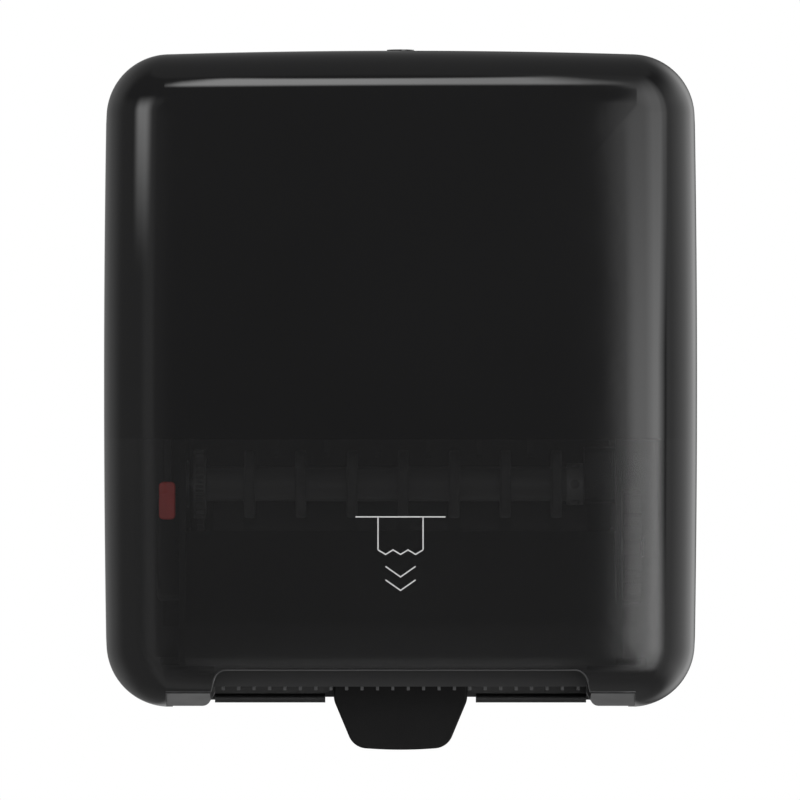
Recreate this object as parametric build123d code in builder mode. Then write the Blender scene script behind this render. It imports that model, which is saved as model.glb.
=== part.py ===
from build123d import *
from math import acos, cos, degrees, pi, radians, sin, tan
import os

# Hand towel roll dispenser that hangs on a wall. X runs to the right, the wall is the plane y = 0,
# the room lies towards -Y and Z is up. The origin is the middle of the four wall screws.
# Side profiles are drawn in (depth from the wall, height). All lengths are in millimetres.

# Clearances
overrun = 2.0
fit_gap = 0.02
run_gap = 0.06
end_gap = 0.4
slide_gap = 0.15
moulding_gap = 0.3

# Cover skin
width = 337.0
height = 372.0
depth = 203.0
cover_back = 6.0
cover_wall = 2.6
cover_draft = 2.0
corner_spare = 2.9
side_crown = 1.9
top_crown = 3.3
front_crown_r = 2400.0
shoulder_r = 30.5
seam_rise = 153.0

# Outlet mouth of the lower cover and the hinge feet beside it
mouth_rise = 26.2
mouth_r = 14.0
foot_side = 64.0
foot_width = 25.0
foot_margin = 1.5
foot_top_rise = 14.5
foot_facet_back = 53.0
foot_facet_front = 25.0
foot_under_rise = 5.5
foot_nose = 1.2
foot_rib = 2.4
foot_round = 5.0
foot_gusset_w = 2.7
foot_gusset_h = 6.0
foot_gusset_l = 13.0

# Cover hinge
hinge_d = 22.0
hinge_rise = 16.0
hinge_pin_r = 3.0
hinge_boss_r = 8.0
hinge_lug_t = 3.4
hinge_base_t = 3.0
hinge_base_half = 12.0
hinge_boss_reach = 6.3
hinge_pin_head_r = 4.6
hinge_pin_head_t = 1.4
hinge_swing_room = 3.0

# Back panel
panel_t = 3.0
panel_inset = 5.5
rim_t = 2.4
rim_h = 21.0
rim_low_rise = 51.0
rib_t = 2.0
rib_h = 5.0
rib_x = 62.0
rib_low_rise = 178.0
rib_cross_rise = 216.0
rib_high_drop = 36.0
wall_hole_r = 3.25
wall_hole_inset = 18.5
wall_hole_edge = 76.0
wall_boss_r = 9.0
wall_boss_h = 2.0

# Side frames
frame_side = 50.0
frame_t = 3.5
frame_top_rise = 178.0
frame_low_rise = 36.0
frame_foot_d = 30.0
flange_t = 3.0
flange_w = 13.0
flange_top_rise = 166.0
flange_low_rise = 46.0
screw_r = 2.0
screw_head_r = 4.0
screw_head_h = 2.4
screw_pitch = 48.0
screw_tip = 0.6

# Feed drum, its gear and the pinion that meshes with it
drum_d_share = 0.41872
drum_rise = 92.0
drum_r = 39.0
drum_wall = 2.5
drum_room = 14.5
drum_end_t = 5.0
drum_seam = 0.2
axle_r = 5.0
axle_left_over = 12.0
axle_right_over = 14.0
bush_r = 8.0
bush_flange_r = 11.0
bush_flange_t = 1.2
gear_module = 1.5
gear_teeth = 54
pinion_teeth = 24
gear_pressure_deg = 20.0
gear_backlash = 0.30
gear_addendum_share = 0.95
gear_dedendum_share = 1.25
gear_w = 3.6
gear_hub_r = 9.0
gear_hub_w = 3.0
gear_window_r = 8.0
gear_window_orbit = 24.0
gear_windows = 5
grip_depth = 1.0
grip_w = 8.0
grip_mouth = 11.0

# Knife inside the drum
knife_deg = 225.0
knife_slot = 6.0
knife_travel = 7.0
carrier_t = 4.0
carrier_in_r = 9.0
carrier_margin = 2.0
carrier_window_w = 16.0
carrier_window_h = 5.0
blade_t = 0.8
blade_in_r = 18.0
blade_tip_in = 1.6
blade_tooth_h = 3.9
blade_margin = 6.0
blade_pitch = 4.0
blade_relief = 4.0
blade_relief_h = 3.5

# Pinch roller
roller_deg = 37.7
tyre_count = 7
tyre_margin = 19.1
tyre_centre_x = 1.4
tyre_w = 6.0
tyre_bevel = 1.0
nip_gap = 0.6
roller_shaft_r = 9.6
roller_room = 17.5
journal_r = 4.0
pinion_room = 4.1
pinion_flange_t = 1.2
pinion_flange_r = 18.9
sleeve_w = 9.0
sleeve_r = 11.6
sleeve_hole_r = 2.6
sleeve_holes = 6
roller_flange_r = 13.0
roller_flange_t = 1.5
roller_seat_r = 7.0
block_gap = 0.6
block_d = 26.0
block_h = 31.0
block_lift = 5.0
block_round = 4.0

# Transfer bar and its thumb tab
bar_ahead = 33.0
bar_above = 72.0
bar_r = 4.0
bar_bush_r = 6.5
finger_w = 3.0
finger_root_r = 5.5
finger_tip_r = 2.5
finger_ahead = 6.0
finger_drop = 19.0
tab_reach = 11.6
tab_w = 9.1
tab_h = 20.9
tab_ahead = 20.0
tab_drop = 34.9
tab_t = 3.2
tab_round = 2.5
lever_t = 4.0
lever_hub_r = 6.5
lever_pad_t = 3.5

# Chutes, comb, rail and tongue at the outlet
chute_wall = 2.2
chute_top_ahead = 55.0
chute_top_above = 10.0
chute_front_room = 35.0
chute_knee_rise = 51.0
chute_lip_rise = 28.0
chute_toe_back = 5.0
chute_toe_rise = 16.6
chute_bend_r = 12.0
chute_seat_r = 10.0
comb_margin = 4.5
comb_pitch = 8.5
comb_rib_t = 1.6
comb_reach = 26.0
comb_top_rise = 40.0
comb_low_rise = 14.4
comb_spine_h = 6.0
shroud_gap = 5.0
shroud_wall = 2.5
shroud_from_deg = 140.0
shroud_to_deg = 283.0
tail_margin = 1.0
rail_low_rise = 5.5
rail_r = 2.5
rail_notch_x = 36.6
rail_notch_w = 5.4
rail_notch_h = 6.0
tongue_t = 3.0
tongue_top_rise = 28.0
tongue_root_rise = 7.0
tongue_drop = 20.7
tongue_half = 37.2
tongue_low_half = 26.2
tongue_r = 11.0
tongue_crown = 1.4

# Spring case and hand wheel
case_r = 30.0
case_w = 14.0
case_round = 3.0
case_ear_r = 5.0
case_ear_orbit = 33.0
case_ear_t = 3.0
case_ears = 3
wheel_gap = 2.0
wheel_w = 10.0
wheel_r = 32.0
wheel_scallops = 12
wheel_scallop_r = 5.0
wheel_scallop_orbit = 34.5
wheel_dish_r = 24.0
wheel_dish = 4.0
wheel_hub_r = 9.0

# Roll holder
arm_side = 52.5
arm_t = 4.0
arm_pin_d = 14.0
arm_pin_r = 2.5
hub_d = 100.0
hub_drop = 102.0
arm_end_r = 17.0
arm_root_half = 20.0
arm_knuckle_r = 6.0
arm_lug_t = 6.0
arm_pin_over = 2.0
arm_window_r = 12.0
arm_window_deep = 26.0
hub_axle_r = 6.0
hub_flange_r = 26.0
hub_flange_t = 3.0
hub_root_r = 19.0
hub_tip_r = 16.5
hub_reach = 15.0
hub_cap_r = 9.0
hub_cap_t = 2.0
hub_bore_r = 11.0
hub_bore_deep = 12.0

# Lock at the top of the cover
lock_d = 33.0
lock_head_r = 7.7
lock_body_r = 6.0
lock_proud = 0.15
lock_head_t = 2.4
lock_body_drop = 17.5
lock_slot_w = 1.6
lock_slot_l = 8.0
lock_slot_deep = 1.0
cam_t = 3.0
cam_reach = 24.0
cam_half = 5.0
cam_drop = 13.5
keeper_gap = 0.8
keeper_t = 2.0
keeper_half = 14.0
keeper_reach = 12.0

# Heights and depths of the cover, its mouth, feet and hinge
top_z = height / 2
bottom_z = -height / 2
corner_r = shoulder_r + corner_spare + (depth - cover_back) * tan(radians(cover_draft))
seam_z = bottom_z + seam_rise
mouth_top_z = bottom_z + mouth_rise
foot_inner_x = width / 2 - foot_side
foot_outer_x = foot_inner_x + foot_width
foot_mid_x = (foot_inner_x + foot_outer_x) / 2
mouth_half = foot_inner_x - foot_margin
foot_top_z = bottom_z + foot_top_rise
foot_under_z = bottom_z + foot_under_rise
foot_facet_back_d = depth - foot_facet_back
foot_facet_front_d = depth - foot_facet_front
hinge_z = bottom_z + hinge_rise
lug_inner_x = foot_inner_x - end_gap - hinge_lug_t
lug_outer_x = foot_outer_x + hinge_boss_reach + end_gap
lug_end_x = lug_outer_x + hinge_lug_t

# Places of the frames and of what hangs on them
frame_in = width / 2 - frame_side
frame_out = frame_in + frame_t
frame_top_z = bottom_z + frame_top_rise
frame_low_z = bottom_z + frame_low_rise
flange_mid_x = frame_out + flange_w / 2
flange_top_z = bottom_z + flange_top_rise
flange_low_z = bottom_z + flange_low_rise
flange_mid_z = (flange_top_z + flange_low_z) / 2
rim_low_z = bottom_z + rim_low_rise
rib_low_z = bottom_z + rib_low_rise
rib_cross_z = bottom_z + rib_cross_rise
rib_high_z = top_z - rib_high_drop
wall_hole_x = 2 * (frame_in - wall_hole_inset)
wall_hole_z = height - 2 * wall_hole_edge

# Drum, knife, gear train and pinch roller
drum_d = depth * drum_d_share
drum_z = bottom_z + drum_rise
drum_half = frame_in - drum_room
axle_left_x = -frame_out - axle_left_over
axle_right_x = frame_out + axle_right_over
carrier_half = drum_half - carrier_margin
carrier_out_r = drum_r - drum_wall - knife_travel
blade_half = drum_half - blade_margin
blade_tip_r = drum_r - blade_tip_in
blade_root_r = blade_tip_r - blade_tooth_h
gear_centres = gear_module * (gear_teeth + pinion_teeth) / 2
gear_tip_r = gear_module * (gear_teeth / 2 + gear_addendum_share)
roller_d = drum_d + gear_centres * cos(radians(roller_deg))
roller_z = drum_z + gear_centres * sin(radians(roller_deg))
roller_right_x = frame_in - roller_room
tyre_r = gear_centres - drum_r - nip_gap
tyre_pitch = 2 * (drum_half - tyre_margin) / (tyre_count - 1)
tyre_xs = [tyre_centre_x + tyre_pitch * (i - (tyre_count - 1) / 2) for i in range(tyre_count)]
finger_xs = [(a + b) / 2 for a, b in zip(tyre_xs, tyre_xs[1:])]
pinion_w = gear_w + 2 * end_gap
pinion_out_x = pinion_room - frame_in
pinion_in_x = pinion_out_x + 2 * pinion_flange_t + pinion_w
gear_mid_x = (pinion_out_x + pinion_in_x) / 2
sleeve_left_x = roller_right_x - sleeve_w
block_left_x = roller_right_x + block_gap
wheel_left_x = frame_out + wheel_gap

# Transfer bar, chutes and tongue
bar_d = drum_d + bar_ahead
bar_z = drum_z + bar_above
tab_left_x = -frame_out - tab_reach
tab_back_d = bar_d + tab_ahead
tab_top_z = bar_z - tab_drop
tab_low_z = tab_top_z - tab_h
chute_top_d = drum_d + chute_top_ahead
chute_top_z = drum_z + chute_top_above
chute_knee_d = depth - chute_front_room
chute_knee_z = bottom_z + chute_knee_rise
chute_lip_z = bottom_z + chute_lip_rise
chute_toe_d = chute_knee_d - chute_toe_back
chute_toe_z = bottom_z + chute_toe_rise
comb_count = int(2 * (mouth_half - comb_margin) / comb_pitch) + 1
comb_back_d = chute_knee_d - comb_reach
comb_top_z = bottom_z + comb_top_rise
comb_low_z = bottom_z + comb_low_rise
shroud_r = gear_tip_r + shroud_gap
tail_half = foot_inner_x - tail_margin
tail_d = drum_d + shroud_r * cos(radians(shroud_to_deg))
tail_top_z = drum_z + shroud_r * sin(radians(shroud_to_deg))
rail_low_z = bottom_z + rail_low_rise
tongue_top_z = bottom_z + tongue_top_rise
tongue_root_z = bottom_z + tongue_root_rise
tongue_low_z = bottom_z - tongue_drop

# Roll holder and lock
arm_in = width / 2 - arm_side
arm_mid_x = arm_in + arm_t / 2
hub_z = top_z - hub_drop
lock_top_z = top_z + lock_proud
lock_seat_z = lock_top_z - lock_head_t
lock_body_low_z = top_z - lock_body_drop
cam_top_z = top_z - cam_drop

os.makedirs("parts", exist_ok=True)


def side(x):
    """Plane across X at x, drawn in (depth from the wall, height)."""
    return Plane((x, 0, 0), x_dir=(0, -1, 0), z_dir=(-1, 0, 0))


def bar(x_from, x_to, d, z, radius, mode=Mode.ADD):
    """Round bar along X in the part being built."""
    with Locations(((x_from + x_to) / 2, -d, z)):
        Cylinder(radius, abs(x_to - x_from), rotation=(0, 90, 0), mode=mode)


def save(piece, name):
    """Label one finished piece and write its file."""
    piece.part.label = name
    export_step(piece.part, f"parts/{name}.step")


def housing_outline(inset, plane):
    """Front outline of the housing, crowned at top and sides, moved inwards by inset."""
    half_w = width / 2 - inset
    half_h = height / 2 - inset
    corner_x = half_w - side_crown
    corner_z = half_h - top_crown
    with BuildSketch(plane) as outline:
        with BuildLine():
            ThreePointArc((-corner_x, corner_z), (0, half_h), (corner_x, corner_z))
            ThreePointArc((corner_x, corner_z), (half_w, 0), (corner_x, -half_h))
            Line((corner_x, -half_h), (-corner_x, -half_h))
            ThreePointArc((-corner_x, -half_h), (-half_w, 0), (-corner_x, corner_z))
        make_face()
        fillet(outline.vertices(), corner_r - inset)
    return outline.sketch


def cover_form(inset, back):
    """Drafted, crowned and shouldered cover form, moved inwards by inset."""
    with BuildPart() as form:
        extrude(
            housing_outline(inset, Plane.XZ.offset(back)),
            amount=depth - back + overrun,
            taper=cover_draft,
        )
        with Locations((0, front_crown_r - depth, 0)):
            Sphere(front_crown_r - inset, mode=Mode.INTERSECT)
        fillet(form.faces().sort_by(Axis.Y)[0].edges(), shoulder_r - inset)
    return form.part


def gear_outline(teeth, first_deg):
    """Involute gear outline round (0, 0), with a tooth centred on first_deg."""
    pitch_r = gear_module * teeth / 2
    base_r = pitch_r * cos(radians(gear_pressure_deg))
    tip_r = pitch_r + gear_module * gear_addendum_share
    root_r = pitch_r - gear_module * gear_dedendum_share
    flank_from = max(base_r, root_r)

    def half_angle(r):
        pressure = acos(min(base_r / r, 1))
        pitch_pressure = radians(gear_pressure_deg)
        spread = tan(pitch_pressure) - pitch_pressure - (tan(pressure) - pressure)
        return pi / (2 * teeth) - gear_backlash / (2 * pitch_r) + spread

    points = []
    for i in range(teeth):
        middle = radians(first_deg) + 2 * pi * i / teeth
        flank = [
            (root_r, half_angle(flank_from)),
            (flank_from, half_angle(flank_from)),
            (pitch_r, half_angle(pitch_r)),
            (tip_r, half_angle(tip_r)),
        ]
        if flank_from == root_r:
            flank = flank[1:]
        points += [(r * cos(middle - a), r * sin(middle - a)) for r, a in flank]
        points += [(r * cos(middle + a), r * sin(middle + a)) for r, a in reversed(flank)]
    return points


# Cover: one drafted shell, parted at the seam
cover_skin = cover_form(0, cover_back)
cover_hollow = cover_form(cover_wall, cover_back - overrun)
with BuildPart() as cover_shell:
    add(cover_skin)
    add(cover_hollow, mode=Mode.SUBTRACT)

with BuildPart() as upper_cover:
    add(cover_shell.part)
    split(bisect_by=Plane.XY.offset(seam_z), keep=Keep.TOP)
    with Locations((0, -lock_d, lock_seat_z)):
        Cylinder(
            lock_head_r + run_gap,
            lock_head_t + overrun,
            align=(Align.CENTER, Align.CENTER, Align.MIN),
            mode=Mode.SUBTRACT,
        )
        Cylinder(lock_body_r + run_gap, depth / 2, mode=Mode.SUBTRACT)
save(upper_cover, "upper_cover")

with BuildPart() as lower_cover:
    add(cover_shell.part)
    split(bisect_by=Plane.XY.offset(seam_z), keep=Keep.BOTTOM)
    # The outlet mouth, with rounded upper corners
    mouth_drop = mouth_top_z + height / 2 + overrun
    with BuildSketch(Plane.XZ) as mouth:
        with Locations((0, mouth_top_z)):
            Rectangle(2 * mouth_half, mouth_drop, align=(Align.CENTER, Align.MAX))
        fillet(mouth.vertices().group_by(Axis.Z)[-1], mouth_r)
    extrude(amount=depth + overrun, mode=Mode.SUBTRACT)
    # Notches for the hinge feet beside it
    notch_in = mouth_half - mouth_r
    notch_out = foot_outer_x + moulding_gap
    with BuildSketch(Plane.XZ):
        for sign in (-1, 1):
            with Locations((sign * (notch_in + notch_out) / 2, foot_top_z + moulding_gap)):
                Rectangle(notch_out - notch_in, mouth_drop, align=(Align.CENTER, Align.MAX))
    extrude(amount=depth + overrun, mode=Mode.SUBTRACT)
    # Room behind and round the hinge, so that the cover can swing
    with BuildSketch(Plane.XZ):
        with Locations((0, hinge_z)):
            Rectangle(width, height, align=(Align.CENTER, Align.MAX))
    extrude(amount=hinge_d, mode=Mode.SUBTRACT)
    with BuildSketch(Plane.XZ):
        with Locations((0, hinge_z + hinge_boss_r)):
            Rectangle(
                2 * (lug_end_x + hinge_swing_room),
                height,
                align=(Align.CENTER, Align.MAX),
            )
    extrude(amount=hinge_d + hinge_boss_r + hinge_swing_room, mode=Mode.SUBTRACT)
save(lower_cover, "lower_cover")

# Hinge feet: a runner from the hinge boss to the slanted facet under the cover's front
with BuildPart() as right_hinge_foot:
    with BuildSketch(side(foot_mid_x)):
        with BuildLine():
            Polyline(
                (hinge_d, hinge_z),
                (hinge_d, hinge_z - hinge_boss_r),
                (foot_facet_back_d, foot_under_z),
                (foot_facet_front_d, foot_top_z - foot_nose),
                (foot_facet_front_d, foot_top_z),
                (hinge_d + hinge_boss_r, foot_top_z),
                (hinge_d, hinge_z),
            )
        make_face()
    extrude(amount=foot_width / 2, both=True)
    # The runner is moulded hollow, open upwards, with its facet left as a skin
    with BuildSketch(Plane.XY.offset(foot_top_z)):
        with Locations((foot_mid_x, -(hinge_d + hinge_boss_r + foot_facet_back_d) / 2)):
            Rectangle(
                foot_width - 2 * foot_rib,
                foot_facet_back_d - hinge_d - hinge_boss_r - 2 * foot_rib,
            )
    extrude(
        amount=-(foot_top_z - hinge_z + hinge_boss_r - foot_rib),
        mode=Mode.SUBTRACT,
    )
    # Its inner lower corner is rounded, and a gusset stands on its outer side
    with BuildSketch(Plane.XZ.offset(hinge_d + hinge_boss_r)):
        with Locations((foot_inner_x, foot_under_z)):
            Rectangle(2 * foot_round, 2 * foot_round)
        with Locations((foot_inner_x + foot_round, foot_under_z + foot_round)):
            Circle(foot_round, mode=Mode.SUBTRACT)
    extrude(amount=depth, mode=Mode.SUBTRACT)
    with BuildSketch(Plane.XZ.offset(foot_facet_front_d)):
        with BuildLine():
            Polyline(
                (foot_outer_x, foot_top_z),
                (foot_outer_x, foot_top_z + foot_gusset_h),
                (foot_outer_x - foot_gusset_w, foot_top_z),
                (foot_outer_x, foot_top_z),
            )
        make_face()
    extrude(amount=-foot_gusset_l)
    bar(foot_inner_x, foot_outer_x + hinge_boss_reach, hinge_d, hinge_z, hinge_boss_r)
    bar(
        foot_inner_x - overrun,
        foot_outer_x + hinge_boss_reach + overrun,
        hinge_d,
        hinge_z,
        hinge_pin_r + run_gap,
        mode=Mode.SUBTRACT,
    )
save(right_hinge_foot, "right_hinge_foot")

with BuildPart() as left_hinge_foot:
    mirror(right_hinge_foot.part, about=Plane.YZ)
save(left_hinge_foot, "left_hinge_foot")

# Hinge brackets on the back panel, each with two lugs
with BuildPart() as right_hinge_bracket:
    with BuildSketch(Plane.XZ.offset(panel_t)):
        with Locations(((lug_inner_x + lug_end_x) / 2, hinge_z)):
            Rectangle(lug_end_x - lug_inner_x, 2 * hinge_base_half)
    extrude(amount=hinge_base_t)
    for lug_x in (lug_inner_x, lug_outer_x):
        with BuildSketch(side(lug_x + hinge_lug_t / 2)):
            with Locations((hinge_d, hinge_z)):
                Circle(hinge_boss_r)
            with Locations((panel_t, hinge_z)):
                Rectangle(hinge_base_t, 2 * hinge_base_half, align=(Align.MIN, Align.CENTER))
            make_hull()
        extrude(amount=hinge_lug_t / 2, both=True)
    bar(
        lug_inner_x - overrun,
        lug_end_x + overrun,
        hinge_d,
        hinge_z,
        hinge_pin_r + fit_gap,
        mode=Mode.SUBTRACT,
    )
save(right_hinge_bracket, "right_hinge_bracket")

with BuildPart() as left_hinge_bracket:
    mirror(right_hinge_bracket.part, about=Plane.YZ)
save(left_hinge_bracket, "left_hinge_bracket")

with BuildPart() as hinge_pins:
    for sign in (-1, 1):
        head_x = lug_inner_x - hinge_pin_head_t
        bar(sign * lug_inner_x, sign * lug_end_x, hinge_d, hinge_z, hinge_pin_r)
        bar(sign * head_x, sign * lug_inner_x, hinge_d, hinge_z, hinge_pin_head_r)
save(hinge_pins, "hinge_pins")

# Back panel: a plate with a rim on three sides, ribs, wall-screw bosses and roll-arm lugs
rim_ring = housing_outline(panel_inset, Plane.XZ) - housing_outline(panel_inset + rim_t, Plane.XZ)
with BuildPart() as back_panel:
    extrude(rim_ring, amount=panel_t + rim_h)
    with BuildSketch(Plane.XZ):
        with Locations((0, rim_low_z)):
            Rectangle(width, height, align=(Align.CENTER, Align.MAX))
    extrude(amount=depth, mode=Mode.SUBTRACT)
    extrude(housing_outline(panel_inset, Plane.XZ), amount=panel_t)
    with BuildSketch(Plane.XZ.offset(panel_t)):
        for rib_at in (-rib_x, rib_x):
            with Locations((rib_at, (rib_low_z + rib_high_z) / 2)):
                Rectangle(rib_t, rib_high_z - rib_low_z)
        for rib_at in (rib_low_z, rib_cross_z, rib_high_z):
            with Locations((0, rib_at)):
                Rectangle(2 * rib_x + rib_t, rib_t)
    extrude(amount=rib_h)
    with BuildSketch(Plane.XZ.offset(panel_t)):
        with GridLocations(wall_hole_x, wall_hole_z, 2, 2):
            Circle(wall_boss_r)
    extrude(amount=wall_boss_h)
    with BuildSketch(Plane.XZ):
        with GridLocations(wall_hole_x, wall_hole_z, 2, 2):
            Circle(wall_hole_r)
        for sign in (-1, 1):
            with Locations((sign * flange_mid_x, flange_mid_z)):
                with GridLocations(0, screw_pitch, 1, 3):
                    Circle(screw_r + fit_gap)
    extrude(amount=depth, mode=Mode.SUBTRACT)
    # Lugs above and below each roll arm's knuckle
    for sign in (-1, 1):
        for lug_mid_z in (
            hub_z - arm_root_half - end_gap - arm_lug_t / 2,
            hub_z + arm_root_half + end_gap + arm_lug_t / 2,
        ):
            with BuildSketch(Plane.XY.offset(lug_mid_z)):
                with Locations((sign * arm_mid_x, -arm_pin_d)):
                    Circle(arm_knuckle_r)
                with Locations((sign * arm_mid_x, -panel_t / 2)):
                    Rectangle(2 * arm_knuckle_r + arm_lug_t, panel_t)
                make_hull()
                with Locations((sign * arm_mid_x, -arm_pin_d)):
                    Circle(arm_pin_r + fit_gap, mode=Mode.SUBTRACT)
            extrude(amount=arm_lug_t / 2, both=True)
save(back_panel, "back_panel")


# Side frames: plates that carry drum, roller, transfer bar and chutes
def side_frame(sign, roller_bore_r):
    """Frame on the side given by sign, with a flange that turns outwards at the wall."""
    with BuildPart() as frame:
        with BuildSketch(side(sign * (frame_in + frame_t / 2))) as plate:
            with Locations((roller_d, roller_z)):
                Circle(tyre_r + chute_wall)
            with Locations((bar_d, bar_z)):
                Circle(2 * bar_bush_r)
            with Locations((chute_knee_d - chute_seat_r, chute_lip_z + chute_seat_r)):
                Circle(chute_seat_r)
            with Locations((panel_t, (frame_top_z + frame_low_z) / 2)):
                Rectangle(frame_foot_d, frame_top_z - frame_low_z, align=(Align.MIN, Align.CENTER))
            make_hull()
        extrude(plate.sketch, amount=frame_t / 2, both=True)
        with Locations((sign * flange_mid_x, -panel_t - flange_t / 2, flange_mid_z)):
            Box(flange_w, flange_t, flange_top_z - flange_low_z)
        bores = [(drum_d, drum_z, bush_r), (bar_d, bar_z, bar_bush_r), (roller_d, roller_z, roller_bore_r)]
        for bore_d, bore_z, bore_r in bores:
            bar(
                sign * (frame_in - overrun),
                sign * (frame_out + overrun),
                bore_d,
                bore_z,
                bore_r + fit_gap,
                mode=Mode.SUBTRACT,
            )
        for step in (-1, 0, 1):
            screw_z = flange_mid_z + step * screw_pitch
            with Locations((sign * flange_mid_x, -panel_t - flange_t / 2, screw_z)):
                Cylinder(screw_r + fit_gap, 2 * flange_t, rotation=(90, 0, 0), mode=Mode.SUBTRACT)
    return frame


left_side_frame = side_frame(-1, roller_seat_r)
save(left_side_frame, "left_side_frame")
right_side_frame = side_frame(1, journal_r)
save(right_side_frame, "right_side_frame")

with BuildPart() as frame_screws:
    for sign in (-1, 1):
        for step in (-1, 0, 1):
            screw_z = flange_mid_z + step * screw_pitch
            screw_plane = Plane((sign * flange_mid_x, -panel_t - flange_t, screw_z), z_dir=(0, -1, 0))
            with Locations(screw_plane):
                Cylinder(screw_head_r, screw_head_h, align=(Align.CENTER, Align.CENTER, Align.MIN))
                Cylinder(
                    screw_r,
                    panel_t + flange_t - screw_tip,
                    align=(Align.CENTER, Align.CENTER, Align.MAX),
                )
save(frame_screws, "frame_screws")

# Flanged bushes of the drum axle
with BuildPart() as drum_bushes:
    for sign in (-1, 1):
        bar(sign * frame_in, sign * frame_out, drum_d, drum_z, bush_r)
        bar(sign * (frame_in - bush_flange_t), sign * frame_in, drum_d, drum_z, bush_flange_r)
    bar(-frame_out - overrun, frame_out + overrun, drum_d, drum_z, axle_r + run_gap, mode=Mode.SUBTRACT)
save(drum_bushes, "drum_bushes")


# Feed drum: two shell halves with grooves for the grip bands and a slot for the knife
def drum_shell(turn):
    """Half shell on the side turned by turn from the knife's plane."""
    spot = Location((drum_d, drum_z, 0), (0, 0, knife_deg))
    with BuildPart() as half:
        with BuildSketch(side(0)) as ring:
            with Locations(spot):
                Circle(drum_r)
                Circle(drum_r - drum_wall, mode=Mode.SUBTRACT)
                Rectangle(2 * drum_r, knife_slot, align=(Align.MIN, Align.CENTER), mode=Mode.SUBTRACT)
                with Locations((0, turn * drum_seam / 2)):
                    Rectangle(
                        3 * drum_r,
                        2 * drum_r,
                        align=(Align.CENTER, Align.MAX if turn > 0 else Align.MIN),
                        mode=Mode.SUBTRACT,
                    )
        extrude(ring.sketch, amount=drum_half, both=True)
        for tyre_x in tyre_xs:
            with BuildSketch(side(tyre_x)) as groove:
                with Locations(spot):
                    Circle(drum_r + overrun)
                    Circle(drum_r - grip_depth, mode=Mode.SUBTRACT)
            extrude(groove.sketch, amount=grip_w / 2 + fit_gap, both=True, mode=Mode.SUBTRACT)
    return half


drum_front_half = drum_shell(1)
save(drum_front_half, "drum_front_half")
drum_rear_half = drum_shell(-1)
save(drum_rear_half, "drum_rear_half")

with BuildPart() as drum_grips:
    for tyre_x in tyre_xs:
        with BuildSketch(side(tyre_x)):
            with Locations(Location((drum_d, drum_z, 0), (0, 0, knife_deg))):
                Circle(drum_r)
                Circle(drum_r - grip_depth + fit_gap, mode=Mode.SUBTRACT)
                Rectangle(2 * drum_r, grip_mouth, align=(Align.MIN, Align.CENTER), mode=Mode.SUBTRACT)
        extrude(amount=grip_w / 2, both=True)
save(drum_grips, "drum_grips")


def drum_end(sign):
    """Plug in the drum's end, with the slot that guides the knife carrier."""
    with BuildPart() as plug:
        with BuildSketch(side(sign * (drum_half - drum_end_t / 2))) as disc:
            with Locations(Location((drum_d, drum_z, 0), (0, 0, knife_deg))):
                Circle(drum_r - drum_wall - fit_gap)
                Circle(axle_r + fit_gap, mode=Mode.SUBTRACT)
                with Locations((carrier_in_r - slide_gap, 0)):
                    Rectangle(
                        drum_r,
                        carrier_t + 2 * slide_gap,
                        align=(Align.MIN, Align.CENTER),
                        mode=Mode.SUBTRACT,
                    )
        extrude(disc.sketch, amount=drum_end_t / 2, both=True)
    return plug


left_drum_end = drum_end(-1)
save(left_drum_end, "left_drum_end")
right_drum_end = drum_end(1)
save(right_drum_end, "right_drum_end")

with BuildPart() as drum_axle:
    bar(axle_left_x, axle_right_x, drum_d, drum_z, axle_r)
save(drum_axle, "drum_axle")

# Gear on the drum axle, with windows in its web and a hub towards the drum
with BuildPart() as drum_gear:
    with BuildSketch(side(gear_mid_x)) as gear_web:
        with Locations((drum_d, drum_z)):
            Polygon(*gear_outline(gear_teeth, roller_deg), align=None)
            with PolarLocations(gear_window_orbit, gear_windows):
                Circle(gear_window_r, mode=Mode.SUBTRACT)
    extrude(amount=gear_w / 2, both=True)
    bar(gear_mid_x, gear_mid_x + gear_w / 2 + gear_hub_w, drum_d, drum_z, gear_hub_r)
    bar(-width / 2, 0, drum_d, drum_z, axle_r + fit_gap, mode=Mode.SUBTRACT)
save(drum_gear, "drum_gear")

# Hand wheel on the right end of the axle, scalloped, with a dished face
with BuildPart() as hand_wheel:
    with BuildSketch(side(wheel_left_x + wheel_w / 2)):
        with Locations((drum_d, drum_z)):
            Circle(wheel_r)
            with PolarLocations(wheel_scallop_orbit, wheel_scallops):
                Circle(wheel_scallop_r, mode=Mode.SUBTRACT)
    extrude(amount=wheel_w / 2, both=True)
    wheel_right_x = wheel_left_x + wheel_w
    with BuildSketch(side(wheel_right_x - wheel_dish / 2)):
        with Locations((drum_d, drum_z)):
            Circle(wheel_dish_r)
            Circle(wheel_hub_r, mode=Mode.SUBTRACT)
    extrude(amount=wheel_dish / 2, both=True, mode=Mode.SUBTRACT)
    bar(0, width / 2, drum_d, drum_z, axle_r + fit_gap, mode=Mode.SUBTRACT)
save(hand_wheel, "hand_wheel")

# Closed case of the return spring, screwed to the left frame by its ears
with BuildPart() as spring_case:
    bar(-frame_out - case_w, -frame_out, drum_d, drum_z, case_r)
    fillet(spring_case.edges().filter_by(GeomType.CIRCLE).sort_by(Axis.X)[0], case_round)
    with BuildSketch(side(-frame_out - case_ear_t / 2)):
        with Locations((drum_d, drum_z)):
            with PolarLocations(case_ear_orbit, case_ears):
                Circle(case_ear_r)
    extrude(amount=case_ear_t / 2, both=True)
    bar(axle_left_x - end_gap, 0, drum_d, drum_z, axle_r + run_gap, mode=Mode.SUBTRACT)
save(spring_case, "spring_case")

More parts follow.
